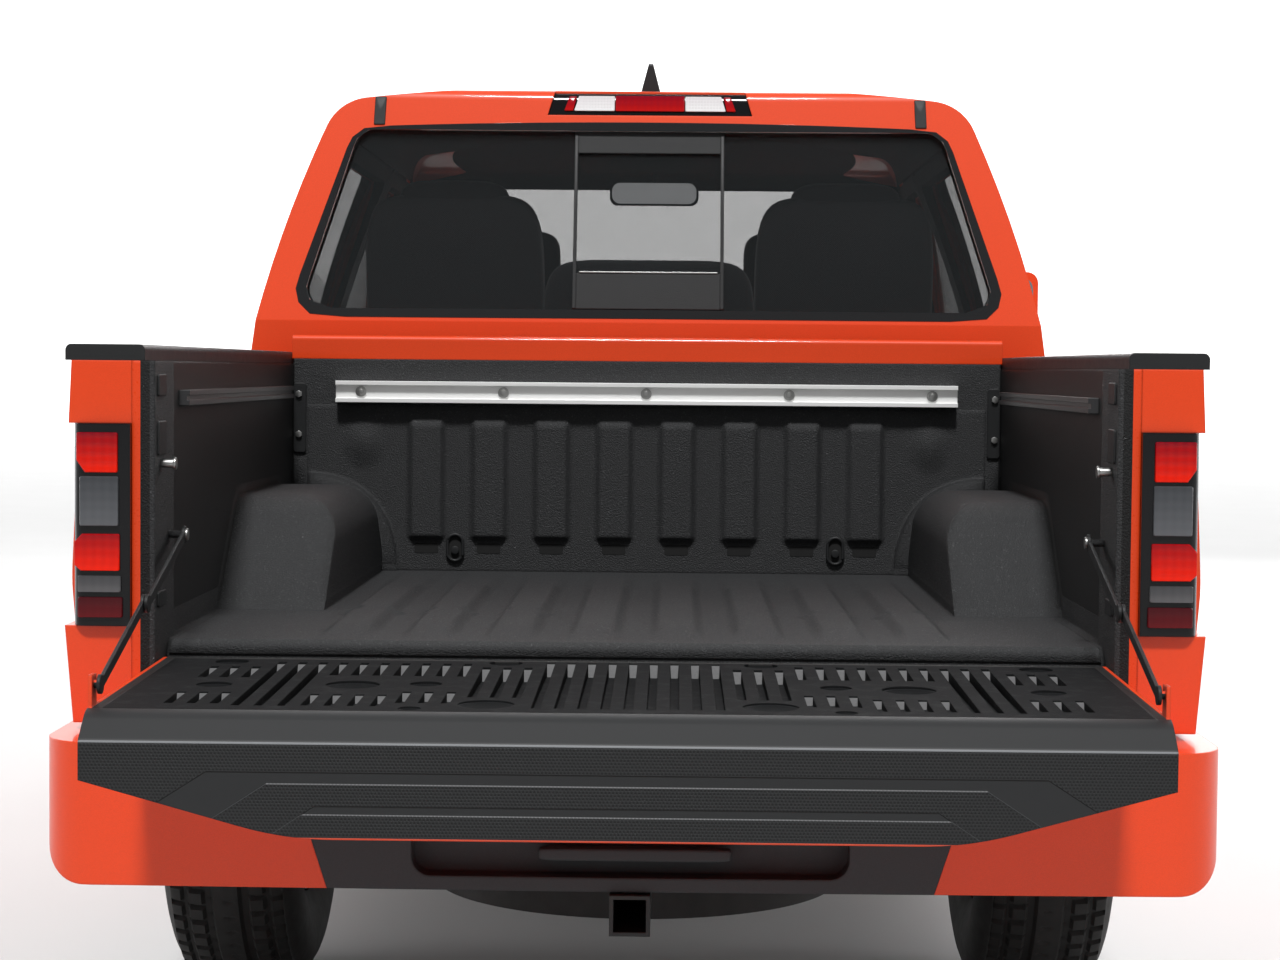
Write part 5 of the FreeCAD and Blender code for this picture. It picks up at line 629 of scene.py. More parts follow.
# Deep and bright tone, heights of base and top, and ribs in a metre where not the usual ones
LENSES = {
    "lens_red": ((0.20, 0.0, 0.008), (0.90, 0.014, 0.0), 1.078, 1.142),
    "lens_brake": ((0.32, 0.002, 0.006), (0.92, 0.014, 0.0), 0.925, 0.975),
    "lens_clear": ((0.050, 0.054, 0.060), (0.12, 0.125, 0.135), 0.99, 1.07),
    "lens_small": ((0.05, 0.052, 0.056), (0.12, 0.12, 0.125), 0.886, 0.913),
    "lens_dark": ((0.050, 0.003, 0.006), (0.12, 0.004, 0.007), 0.846, 0.879),
    "lens_high": ((0.22, 0.0, 0.012), (0.5, 0.005, 0.003), 1.842, 1.88),
    "lens_white": ((0.7, 0.66, 0.68), (0.85, 0.84, 0.84), 1.842, 1.88, 900.0),
    "fog_lens": ((0.5, 0.52, 0.54), (0.7, 0.72, 0.74), 0.5, 0.62, 500.0),
}
made = {}


def finish_of(name):
    """The material of that name, made when it is first asked for."""
    if name not in made:
        if name in GLASSES:
            made[name] = glass(name, *GLASSES[name])
        elif name in LENSES:
            made[name] = lens(name, *LENSES[name])
        elif name in MOTTLED:
            made[name] = mottled(*MOTTLED[name])
        else:
            made[name] = MAKERS[name]()
    return made[name]


# ---------------------------------------------------------------- meshes

def weave_faces(rows, columns, close_rows=False, close_columns=False):
    """Quads between neighbours on a grid of points, closed round where asked."""
    row = np.arange(rows if close_rows else rows - 1)
    column = np.arange(columns if close_columns else columns - 1)
    r, c = np.meshgrid(row, column, indexing="ij")
    r2, c2 = (r + 1) % rows, (c + 1) % columns
    return np.stack([r * columns + c, r * columns + c2, r2 * columns + c2, r2 * columns + c],
                    axis=-1).reshape(-1, 4)


def joined(*parts):
    """Several (points, faces) pairs as one."""
    points, faces, start = [], [], 0
    for part_points, part_faces in parts:
        points.append(part_points)
        faces.append(part_faces + start)
        start += len(part_points)
    return np.concatenate(points), np.concatenate(faces)


def turned_to(points, axis):
    """Points modelled along Z, with their Z brought onto the axis named."""
    x, y, z = points[..., 0], points[..., 1], points[..., 2]
    order = {"X": (z, x, y), "Y": (y, z, x), "Z": (x, y, z)}[axis]
    return np.stack(order, axis=-1)


def lathe(profile, axis, centre, steps=48):
    """Surface of revolution: radius and height from the profile, turned by an angle."""
    profile = np.asarray(profile, float)
    angle = np.linspace(0, TAU, steps, endpoint=False)
    radius, height = profile[:, 0][:, None], profile[:, 1][:, None]
    grid = np.stack(np.broadcast_arrays(radius * np.cos(angle), radius * np.sin(angle),
                                        height + 0 * angle), axis=-1)
    points = turned_to(grid, axis) + np.asarray(centre, float)
    return points.reshape(-1, 3), weave_faces(len(profile), steps, close_columns=True)


def disc(axis, centre, radius, depth, round_by=0.0, steps=32):
    """A short closed cylinder with rounded rims, its middle at the centre."""
    half, edge = depth / 2, round_by or min(radius, depth) * 0.1
    bend = np.linspace(0, math.pi / 2, 4)
    top = np.stack([radius - edge + edge * np.sin(bend), half - edge + edge * np.cos(bend)], -1)
    bottom = top[::-1] * (1, -1)
    profile = np.concatenate([[(0, half)], top, bottom, [(0, -half)]])
    return lathe(profile, axis, centre, steps)


def pillow(centre, size, power=0.28, steps=(24, 40)):
    """Closed box with rounded edges: a superellipsoid of that power, width, depth, height."""
    up = np.linspace(-math.pi / 2, math.pi / 2, steps[0])[:, None]
    round_by = np.linspace(0, TAU, steps[1], endpoint=False)[None, :]

    def bend(value):
        return np.sign(value) * np.abs(value) ** power

    grid = np.stack(np.broadcast_arrays(bend(np.cos(up)) * bend(np.cos(round_by)),
                                        bend(np.cos(up)) * bend(np.sin(round_by)),
                                        bend(np.sin(up)) + 0 * round_by), axis=-1)
    points = grid * np.asarray(size, float) / 2 + np.asarray(centre, float)
    return points.reshape(-1, 3), weave_faces(steps[0], steps[1], close_columns=True)


def tube(path, radius, steps=10, closed=False):
    """A round section carried along a path, each ring square to the path there."""
    path = np.asarray(path, float)
    ahead = np.gradient(path, axis=0)
    if closed:
        ahead = np.roll(path, -1, 0) - np.roll(path, 1, 0)
    ahead = unit(ahead)
    guide = np.where(np.abs(ahead[:, 2:3]) < 0.9, (0.0, 0.0, 1.0), (1.0, 0.0, 0.0))
    side = unit(np.cross(ahead, guide))
    over = np.cross(side, ahead)
    angle = np.linspace(0, TAU, steps, endpoint=False)
    scale = np.broadcast_to(np.asarray(radius, float).reshape(-1, 1), (len(path), 1))
    ring = (side[:, None, :] * np.cos(angle)[None, :, None]
            + over[:, None, :] * np.sin(angle)[None, :, None]) * scale[:, :, None]
    grid = path[:, None, :] + ring
    if closed:
        return grid.reshape(-1, 3), weave_faces(len(path), steps, True, True)
    caps = np.concatenate([np.repeat(path[:1], steps, 0)[None], grid,
                           np.repeat(path[-1:], steps, 0)[None]])
    return caps.reshape(-1, 3), weave_faces(len(caps), steps, close_columns=True)


def unit(vectors):
    """Vectors of length one along their last axis."""
    return vectors / np.linalg.norm(vectors, axis=-1, keepdims=True)


def rounded(corners, radius, steps=5):
    """A convex outline with each corner replaced by an arc of that radius.

    The arc's middle lies on the corner's bisector, a radius away from both of its sides, and
    its spokes turn from the square to one side to the square to the other.
    """
    corners = np.asarray(corners, float)
    back = unit(np.roll(corners, 1, 0) - corners)
    ahead = unit(np.roll(corners, -1, 0) - corners)
    half = np.arccos(np.clip((back * ahead).sum(1, keepdims=True), -1, 1)) / 2
    middle = corners + unit(back + ahead) * radius / np.sin(half)
    start, end = (corners + way * radius / np.tan(half) - middle for way in (back, ahead))
    share = np.linspace(0, 1, steps)[:, None]
    spokes = unit(start[:, None] * (1 - share) + end[:, None] * share) * radius
    return (middle[:, None] + spokes).reshape(-1, 2)


def slab(corners, radius, depth, place, edge=0.0015):
    """A plate whose outline has rounded corners."""
    return plate(rounded(corners, radius), depth, place, edge)


def box_outline(u_low, u_high, v_low, v_high):
    """The four corners of a rectangle."""
    return [(u_low, v_low), (u_high, v_low), (u_high, v_high), (u_low, v_high)]


def plate(corners, depth, place, edge=0.0015):
    """A convex outline raised by a depth with a bevelled rim, laid out by place(u, v, w)."""
    outline = np.asarray(corners, float)
    centre = outline.mean(axis=0)
    inward = outline - centre
    shrunk = centre + inward * (1 - edge / np.linalg.norm(inward, axis=1, keepdims=True))
    rings = [(np.repeat([centre], len(outline), 0), depth), (shrunk, depth),
             (outline, depth - edge), (outline, 0.0), (np.repeat([centre], len(outline), 0), 0.0)]
    grid = [np.stack(place(ring[:, 0], ring[:, 1], np.full(len(ring), level)), axis=-1)
            for ring, level in rings]
    return np.concatenate(grid), weave_faces(len(rings), len(outline), close_columns=True)


def mirrored(part):
    """The same part on the other side of the truck."""
    points, faces = part
    return points * (-1, 1, 1), faces[:, ::-1]


def both(part):
    """A part and its mirror image."""
    return joined(part, mirrored(part))


def piece(name, part, finish, body, instead=(), sharp=40.0):
    """Put a (points, faces) pair into the scene as a finished piece on its body."""
    points, faces = part
    mesh = bpy.data.meshes.new(name)
    mesh.from_pydata(points.tolist(), [], faces.tolist())
    work = bmesh.new()
    work.from_mesh(mesh)
    bmesh.ops.remove_doubles(work, verts=work.verts, dist=1e-6)
    bmesh.ops.dissolve_degenerate(work, edges=work.edges, dist=1e-7)
    bmesh.ops.recalc_face_normals(work, faces=work.faces)
    work.to_mesh(mesh)
    work.free()
    mesh.shade_smooth()
    mesh.set_sharp_from_angle(angle=math.radians(sharp))
    mesh.materials.append(finish_of(finish))
    obj = bpy.data.objects.new(name, mesh)
    bpy.context.scene.collection.objects.link(obj)
    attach(obj, body)
    if instead:
        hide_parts(*instead)
    return obj


# ---------------------------------------------------------------- pieces

CAD_FINISHES = {
    "tailgate_cable_upper": "black_plastic", "tailgate_cable_lower": "black_plastic",
    "cab_body": "cab_paint", "tailgate_cap": "gate_cap", "engine": "engine",
    "tailgate_liner": "gate_liner", "cab_glass": "rear_glass",
    **{f"glass_front_{side}": "front_glass" for side, _ in SIDES},
    **{f"glass_rear_{side}": "dark_glass" for side, _ in SIDES},
    **{f"door_{end}_{side}": "cab_paint" for end in ("front", "rear") for side, _ in SIDES},
}


def dress_frame():
    """Give every CAD node the finish of its slot."""
    for entry in frame["record"]["subparts"]:
        name = CAD_FINISHES.get(entry["node"], entry["material_slot"])
        obj = NODES[entry["node"]]
        obj.data.materials.clear()
        obj.data.materials.append(finish_of(name))


HALF_TREAD = 0.107
BEAD_RADIUS = 0.2215
SHOULDER_DROP = 0.013
WALL_BULGE = 0.0255
# Share of the section, from the middle out, that is tread
TREAD_SHARE = 0.57
# Middle and half width of the grooves round the tyre, as shares of half the tread
GROOVES = ((0.33, 0.07), (0.74, 0.05))
SIPE_DEPTH = 0.004


def tyre_surface(x_middle, y, outward):
    """Tyre as a closed tube: a rounded section carried round the axle.

    The radius over the tread drops where an angle and a place across fall in a groove: four
    grooves round the tyre, and slanted ones between blocks.
    """
    # The section runs from bead to bead: bend is its share from the middle out, -1 to 1
    bend = np.linspace(-1, 1, 65)
    climb = np.clip((1 - np.abs(bend)) / 0.4, 0, 1)
    wall = np.sin(climb * math.pi / 2)
    belly = HALF_TREAD + WALL_BULGE * np.sin(np.clip(climb * 1.25, 0, 1) * math.pi)
    on_tread = np.abs(bend) < TREAD_SHARE
    half = np.where(on_tread, np.minimum(1.0, np.abs(bend) * 1.75) * HALF_TREAD, belly)
    section_x = np.sign(bend) * half
    crown = AXLE_Z - SHOULDER_DROP * (np.abs(section_x) / HALF_TREAD) ** 3
    section_r = np.where(on_tread, crown,
                         BEAD_RADIUS + (AXLE_Z - 0.014 - BEAD_RADIUS) * wall ** 1.15)
    angle = np.linspace(0, TAU, 512, endpoint=False)
    across = section_x[:, None] / HALF_TREAD
    wave = (angle * looks().tread_blocks / TAU + 0.35 * across * outward) % 1.0
    slant = (wave < 0.22) & (np.abs(across) > 0.3)
    ring_groove = np.zeros_like(across, bool)
    for middle, reach in GROOVES:
        ring_groove |= np.abs(np.abs(across) - middle) < reach
    sipe = (wave > 0.58) & (wave < 0.64) & (np.abs(across) < 0.3)
    tread = (np.abs(bend) < 0.6)[:, None]
    depth = looks().tread_depth * ((slant | ring_groove) & tread) + SIPE_DEPTH * (sipe & tread)
    ring = section_r[:, None] - depth
    grid = np.stack(np.broadcast_arrays(section_x[:, None] + 0 * angle + x_middle,
                                        y + ring * np.cos(angle), AXLE_Z + ring * np.sin(angle)),
                    axis=-1)
    return grid.reshape(-1, 3), weave_faces(len(bend), len(angle), close_columns=True)


def make_tyres():
    """Treaded tyres in place of the plain ones."""
    for place, sign, y in WHEELS:
        node = f"tyre_{place}"
        piece(f"tread_{place}", tyre_surface(sign * WHEEL_X, y, sign), "tyre", BODY_OF[node],
              (node,), sharp=30.0)


NUTS = 6
NUT_CIRCLE = 0.062
HUB_SET_IN = 0.004


def make_wheel_trim():
    """Centre cap and wheel nuts on each wheel."""
    cap = lathe([(0, 0.03), (0.03, 0.028), (0.041, 0.016), (0.041, -0.03), (0, -0.03)], "X",
                (0, 0, 0))
    turns = [TAU * step / NUTS for step in range(NUTS)]
    nuts = [disc("X", (0.0, NUT_CIRCLE * math.cos(turn), NUT_CIRCLE * math.sin(turn)), 0.0105,
                 0.03, steps=6) for turn in turns]
    points, faces = joined(cap, *nuts)
    for place, sign, y in WHEELS:
        spot = points * (sign, 1, 1) + (sign * WHEEL_X - sign * HUB_SET_IN, y, AXLE_Z)
        piece(f"hub_trim_{place}", (spot, faces), "steel", BODY_OF[f"rim_{place}"])


def leaned(part, x, y, z, slope=0.25):
    """A part modelled upright, leaned back by that slope and moved to its place."""
    points = part[0].copy()
    points[:, 1] -= points[:, 2] * slope
    return points + (x, y, z), part[1]


def make_seats():
    """Padded cushions, backs and headrests in place of the plain seats."""
    for node, half, rise in (("front_seats", 0.25, 0.0), ("rear_seat", 0.210, 0.08)):
        box_low, box_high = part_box(node)
        y, base = box_low.y + 0.13, box_low.z
        parts = []
        for x in (-0.37, 0.37) if node == "front_seats" else (-0.458, 0.458):
            parts.append(pillow((x, y + 0.235, base + 0.205), (2 * half, 0.468, 0.17), 0.38))
            parts.append(pillow((x, y + 0.235, base + 0.08), (2 * half - 0.04, 0.44, 0.15), 0.2))
            tall = 0.60 + rise * 2
            parts.append(leaned(pillow((0, 0, 0), (2 * half, 0.118, tall), 0.30), x, y - 0.005,
                                base + 0.29 + tall / 2))
            parts.append(leaned(pillow((0, 0, 0), (0.262, 0.112, 0.185), 0.42), x, y - 0.075,
                                box_high.z - 0.092 + rise))
            parts += [leaned(tube([(s, 0, -0.1), (s, 0, 0.0), (s, 0, 0.1)], 0.006, 8), x,
                             y - 0.066, box_high.z - 0.2 + rise) for s in (-0.07, 0.07)]
        if node == "rear_seat":
            parts.append(pillow((0, y + 0.235, base + 0.200), (0.50, 0.46, 0.165), 0.3))
            parts.append(leaned(pillow((0, 0, 0), (0.50, 0.11, 0.62), 0.28), 0, y - 0.005,
                                base + 0.592))
        obj = piece(f"{node}_padding", joined(*parts), "seat_fabric", "truck",
                    (node,), sharp=60.0)
    face = low("interior_mirror").y - 0.0035
    pane = slab(box_outline(-0.119, 0.119, -0.029, 0.029), 0.022, 0.0015,
                lambda u, v, w: (u, face - w - v * 0.08, v + 1.7465))
    piece("interior_mirror_pane", pane, "inner_mirror", "truck")


# The back window leans: its foot's place and height, how far it leans and over what height
WINDOW_Y = -0.6875
WINDOW_Z = 1.355
WINDOW_LEAN = 0.14
WINDOW_RISE = 0.535
GLASS_OUT = 0.0145


def window_y(z, out):
    """Y on the back of the leaning rear window at that height, a little outside it."""
    return WINDOW_Y + WINDOW_LEAN * (z - WINDOW_Z) / WINDOW_RISE + GLASS_OUT - out


BORDER_STEPS = 160
WINDOW_MIDDLE_Z = 1.585


def make_rear_window():
    """Sliding pane in the back window: its bars, posts and lip, laid on the glass."""
    def on_glass(u, v, w):
        return u, window_y(v, w), v

    def bar(x_low, x_high, z_low, z_high, depth):
        return slab(box_outline(x_low, x_high, z_low, z_high), 0.002, depth, on_glass)

    frame_parts = [bar(-0.165, 0.165, 1.744, 1.794, 0.006), bar(-0.165, 0.165, 1.386, 1.468, 0.006)]
    frame_parts += [bar(x - 0.004, x + 0.004, 1.386, 1.794, 0.007) for x in (-0.167, 0.167)]
    piece("slider_frame", joined(*frame_parts), "black_plastic", "truck")
    piece("slider_lip", bar(-0.158, 0.158, 1.4685, 1.4715, 0.008), "steel", "truck")
    turn = np.linspace(0, TAU, BORDER_STEPS, endpoint=False)

    def reach(corners, radius, crown):
        """Distance to a rounded, crowned outline at each angle about the window's middle."""
        line = rounded(corners, radius, 9)
        dense = np.concatenate([line + (np.roll(line, -1, 0) - line) * share
                                for share in np.linspace(0, 1, 240, endpoint=False)])
        dense = dense - (0, WINDOW_MIDDLE_Z)
        dense[:, 1] += np.where(dense[:, 1] > 0.1, crown * (1 - (dense[:, 0] / 0.7) ** 2), 0)
        angle = np.arctan2(dense[:, 1], dense[:, 0]) % TAU
        order = np.argsort(angle)
        return np.interp(turn, angle[order], np.hypot(*dense[order].T), period=TAU)

    inner = reach([(-0.789, 1.383), (0.789, 1.383), (0.667, 1.796), (-0.667, 1.796)], 0.045,
                  0.0) - 0.0015
    outer = np.maximum(reach([(-0.820, 1.3635), (0.820, 1.3635), (0.677, 1.800),
                              (-0.677, 1.800)], 0.060, 0.016), inner + 0.002)
    rows = [(inner, 0.0140), (inner, 0.0156), (outer - 0.001, 0.0156), (outer, 0.0140)]
    grid = [np.stack(on_glass(r * np.cos(turn), WINDOW_MIDDLE_Z + r * np.sin(turn),
                              np.full(BORDER_STEPS, w)), -1) for r, w in rows]
    piece("window_border", (np.concatenate(grid), weave_faces(len(rows), BORDER_STEPS, True, True)),
          "window_border", "truck")


def make_lamp_lenses():
    """Lenses of the tail lamps and of the high brake lamp, set on their black housings."""
    face = low("tail_lamps").y

    def on_lamp(u, v, w):
        return u, face - 0.0005 - w, v

    fields = (
        ("upper_lens", "lens_red", [(0.8248, 1.078), (0.877, 1.078), (0.891, 1.098),
                                    (0.891, 1.142), (0.8248, 1.142)]),
        ("reverse_lens", "lens_clear", box_outline(0.8235, 0.8857, 0.9925, 1.072)),
        ("brake_lens", "lens_brake", [(0.8215, 0.9208), (0.884, 0.9208), (0.894, 0.930),
                                      (0.894, 0.967), (0.882, 0.980), (0.8215, 0.980)]),
        ("small_lens", "lens_small", box_outline(0.8195, 0.889, 0.8865, 0.913)),
        ("base_lens", "lens_dark", box_outline(0.817, 0.889, 0.846, 0.8787)))
    for name, finish, corners in fields:
        piece(name, both(slab(corners, 0.003, 0.004, on_lamp)), finish, "truck")

    def on_roof(u, v, w):
        return u, window_y(v, w + 0.0105), v

    red = slab(box_outline(-0.079, 0.079, 1.842, 1.878), 0.002, 0.004, on_roof)
    ends = slab([(0.176, 1.842), (0.197, 1.842), (0.185, 1.876), (0.168, 1.876)], 0.002, 0.003,
                on_roof)
    piece("high_lens_red", joined(red, both(ends)), "lens_high", "truck")
    white = slab([(0.081, 1.842), (0.174, 1.842), (0.163, 1.877), (0.081, 1.877)], 0.002, 0.004,
                 on_roof)
    piece("high_lens_white", both(white), "lens_white", "truck")


def make_roof_trim():
    """Ends of the roof strips, folded down over the back edge of the roof."""
    def on_roof(u, v, w):
        return u, window_y(v, w + 0.0145), v

    end = slab([(0.607, 1.806), (0.633, 1.806), (0.631, 1.872), (0.605, 1.872)], 0.003, 0.003,
               on_roof)
    piece("roof_strip_ends", both(end), "black_plastic", "truck")


def make_mirror_glass():
    """Silvered panes on the back of the door mirrors."""
    for side, sign in SIDES:
        node = f"mirror_{side}"
        box_low, box_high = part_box(node)
        outer = box_low.x if sign < 0 else box_high.x
        x = outer - sign * 0.103
        z = (box_low.z + box_high.z) / 2
        pane = pillow((x, box_low.y + 0.0015, z), (0.178, 0.006, 0.192), 0.35)
        piece(f"mirror_pane_{side}", pane, "mirror", BODY_OF[node])


# Depth of the bulkhead's skin, inner face of the bed's end pillars, and pitch of the bed's ribs
WALL_SKIN = 0.0011
PILLAR_X = 0.7678
RIB_PITCH = 0.1385
RAIL_BOLTS = 5
CLEAT_X = 0.4205
CLEAT_RISE = 0.053
CLEAT_RADIUS = 0.017
RING_STEPS = 40


def make_bed_trim():
    """Bolts on the rails, tie-down cleats, corner brackets and shadow pockets in the bed."""
    rail_low, rail_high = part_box("cargo_rails")
    z = (rail_low.z + rail_high.z) / 2
    face = BULKHEAD_Y - 0.0205
    places = np.linspace(-0.6285, 0.6285, RAIL_BOLTS)
    heads = [disc("Y", (x, face, z), 0.012, 0.006, steps=24) for x in places]
    heads += [disc("Y", (x, face - 0.004, z), 0.007, 0.006, steps=6) for x in places]
    piece("rail_bolts", joined(*heads), "steel", "truck")
    wall = BULKHEAD_Y - WALL_SKIN

    def on_wall(u, v, w):
        return u, wall - w, v

    def on_pillar(u, v, w):
        return PILLAR_X - w, u, v

    turn = np.linspace(0, TAU, RING_STEPS, endpoint=False)
    z = FLOOR_Z + CLEAT_RISE
    cleats, hollows = [], []
    for x in (-CLEAT_X, CLEAT_X):
        ring = np.stack([x + CLEAT_RADIUS * np.cos(turn), np.full(RING_STEPS, wall - 0.005),
                         z + np.sign(np.sin(turn)) * 0.012 + CLEAT_RADIUS * np.sin(turn)], -1)
        cleats.append(tube(ring, 0.0035, closed=True))
        cleats.append(disc("Y", (x, wall - 0.003, z - 0.006), 0.009, 0.01))
        hollows.append(pillow((x, wall, z), (0.03, 0.003, 0.052)))
    piece("bed_cleats", joined(*cleats), "black_plastic", "truck")
    for x in (np.arange(-4, 4) + 0.5) * RIB_PITCH:
        pocket = box_outline(x - 0.026, x + 0.026, FLOOR_Z + 0.040, FLOOR_Z + 0.062)
        hollows.append(slab(pocket, 0.004, 0.0008, on_wall, 0.0004))
    piece("bulkhead_pockets", joined(*hollows), "hollow", "truck")
    brackets = [slab(box_outline(0.752, 0.780, 1.06, 1.215), 0.006, 0.004, on_wall)]
    brackets += [slab(box_outline(BED_END + 0.015, BED_END + 0.075, z_low, z_high), 0.004, 0.0036,
                      on_pillar)
                 for z_low, z_high in ((1.105, 1.16), (0.86, 0.885), (1.20, 1.235))]
    piece("bed_brackets", both(joined(*brackets)), "black_plastic", "truck")
    bolts = [disc("Y", (0.768, wall - 0.006, z), 0.008, 0.007, steps=6) for z in (1.101, 1.19)]
    piece("bracket_bolts", both(joined(*bolts)), "steel", "truck")


def relief(across, along, height, place):
    """Closed slab over a grid of (u, v): its top at height(u, v), its foot sunk a little."""
    u, v = np.meshgrid(across, along, indexing="ij")
    top = np.stack(place(u, v, height(u, v)), -1).reshape(-1, 3)
    foot = np.stack(place(u, v, np.full(u.shape, -0.0015)), -1).reshape(-1, 3)
    rows, columns = u.shape
    index = np.arange(rows * columns).reshape(rows, columns)
    rim = np.concatenate([index[0, :-1], index[:-1, -1], index[-1, :0:-1], index[:0:-1, 0]])
    after = np.roll(rim, -1)
    face = weave_faces(rows, columns)
    side = np.stack([rim, after, after + len(top), rim + len(top)], -1)
    return np.concatenate([top, foot]), np.concatenate([face, face[:, ::-1] + len(top), side])


def smooth(value, first, last):
    """Smooth rise from 0 at the first value to 1 at the last."""
    share = np.clip((value - first) / (last - first), 0, 1)
    return share * share * (3 - 2 * share)


def make_bed_relief():
    """Rounded corrugations of the sprayed floor and front wall, over the plain ribs."""
    def ridge(x, half_low, half_top):
        """Rounded trapezoid wave, high midway between multiples of the pitch."""
        return smooth(np.abs((x / RIB_PITCH) % 1.0 - 0.5) * RIB_PITCH, half_low, half_top)

    def floor_height(x, y):
        inner = smooth(np.abs(x), 0.565, 0.545)
        length = smooth(y, -2.20, -2.02) * smooth(y, -0.812, -0.845)
        step = 1 - 0.35 * smooth(y, -1.30, -1.22) - 0.35 * smooth(y, -1.07, -1.0)
        wide = smooth(y, -1.30, -1.20) * 0.006
        wave = ridge(x, 0.047 + wide, 0.026)
        return 0.0006 + 0.0125 * wave * inner * length * step

    def spread(u, y):
        """Half width of the free floor at that place: narrow between the wheelhouses."""
        return u * (0.5795 + 0.183 * smooth(y, -1.735, -1.83))

    def lip(y):
        return -1.3 * np.maximum(-2.2275 - y, 0)

    floor = relief(np.linspace(-1, 1, 320), np.linspace(-2.2430, -0.7985, 140),
                   lambda u, y: floor_height(spread(u, y), y),
                   lambda u, y, w: (spread(u, y), y, FLOOR_Z + w + lip(y)))
    piece("floor_corrugations", floor, "bed_liner", "truck", sharp=60.0)

    def wall_height(x, z):
        rib = (ridge(x, 0.043, 0.029) * smooth(np.abs(x), 0.565, 0.545)
               * smooth(z, 0.868, 0.880) * smooth(z, 1.150, 1.118))
        around = ((np.maximum(0.80 - np.abs(x), 0) / 0.255) ** 3
                  + (np.maximum(z - 0.70, 0) / 0.315) ** 3)
        shoulder = smooth(around, 1.04, 0.96)
        boss = smooth(np.hypot(np.abs(x) - 0.625, (z - 1.085) * 0.8), 0.052, 0.0)
        edge = smooth(np.abs(x), 0.7495, 0.742) * smooth(z, 1.168, 1.160)
        return 0.0003 + edge * (0.0008 + 0.0135 * rib + 0.010 * shoulder + 0.009 * boss)

    wall = relief(np.linspace(-0.7495, 0.7495, 380), np.linspace(FLOOR_Z + 0.0005, 1.168, 100),
                  wall_height, lambda u, v, w: (u, BULKHEAD_Y - w, v))
    piece("bulkhead_corrugations", wall, "bed_liner", "truck", sharp=60.0)


TIP_STEPS = 48


def make_bumper_trim():
    """Parking sensors, step strips and the bar over the plate pocket of the rear bumper."""
    back = low("rear_bumper").y
    sensors = [disc("Y", (x, back + 0.010, 0.548), 0.014, 0.006) for x in (-0.755, 0.755)]
    strips = slab([(0.765, 0.556), (0.850, 0.581), (0.850, 0.590), (0.765, 0.565)], 0.003, 0.003,
                  lambda u, v, w: (u, back + 0.013 - w, v))
    piece("bumper_sensors", joined(*sensors, both(strips)), "black_plastic", "truck")
    bar = pillow((0.007, low("bumper_step").y + 0.018, 0.497), (0.3, 0.03, 0.02), 0.25)
    piece("plate_lamp_bar", bar, "grey_plastic", "truck")
    tip = [(0.028, -0.05), (0.036, -0.052), (0.038, -0.046), (0.037, 0.04), (0.029, 0.05),
           (0.028, 0.04), (0.034, -0.04), (0.0335, -0.049)]
    points = lathe(tip, "Y", (0.592, low("exhaust").y + 0.045, 0.470), TIP_STEPS)[0]
    piece("exhaust_tip", (points, weave_faces(len(tip), TIP_STEPS, True, True)), "steel", "truck")


def make_gate_trim():
    """Latch blocks at the ends of the tailgate, strap studs, and strikers on the pillars."""
    block = pillow((0.752, low("tailgate").y + 0.080, 0.742), (0.019, 0.045, 0.032), 0.25)
    piece("gate_latches", both(block), "black_plastic", "tailgate")
    striker = joined(disc("X", (0.757, BED_END + 0.05, 1.091), 0.007, 0.024),
                     disc("X", (0.7455, BED_END + 0.05, 1.091), 0.010, 0.004))
    stud = disc("X", (0.7385, BED_END + 0.112, 0.972), 0.010, 0.004)
    piece("gate_strikers", both(joined(striker, stud)), "steel", "truck")


# Groups of slots in the tailgate's liner: first and last step, and share of the way to their end
SLOT_GROUPS = ((0, 4, 0.04), (5, 7, 0.17), (8, 14, 0.1), (8, 10, 0.66), (11, 14, 0.72),
               (15, 17, 0.1), (18, 20, 0.2), (18, 20, 0.7))
# Round cups in the liner: step from the middle, share of the way and radius
CUPS = ((6.2, 0.08, 0.027), (6.2, 0.87, 0.0405), (9.4, 0.51, 0.0243), (9.4, 0.95, 0.0162),
        (12.7, 0.54, 0.0405), (19.5, 0.1, 0.027), (19.0, 0.56, 0.027))


SLOT_PITCH = 0.033
# Thickness of the liner and how much of it the top loses from the hinge to the cap
LINER_DEPTH = 0.020
LINER_FALL = 0.012


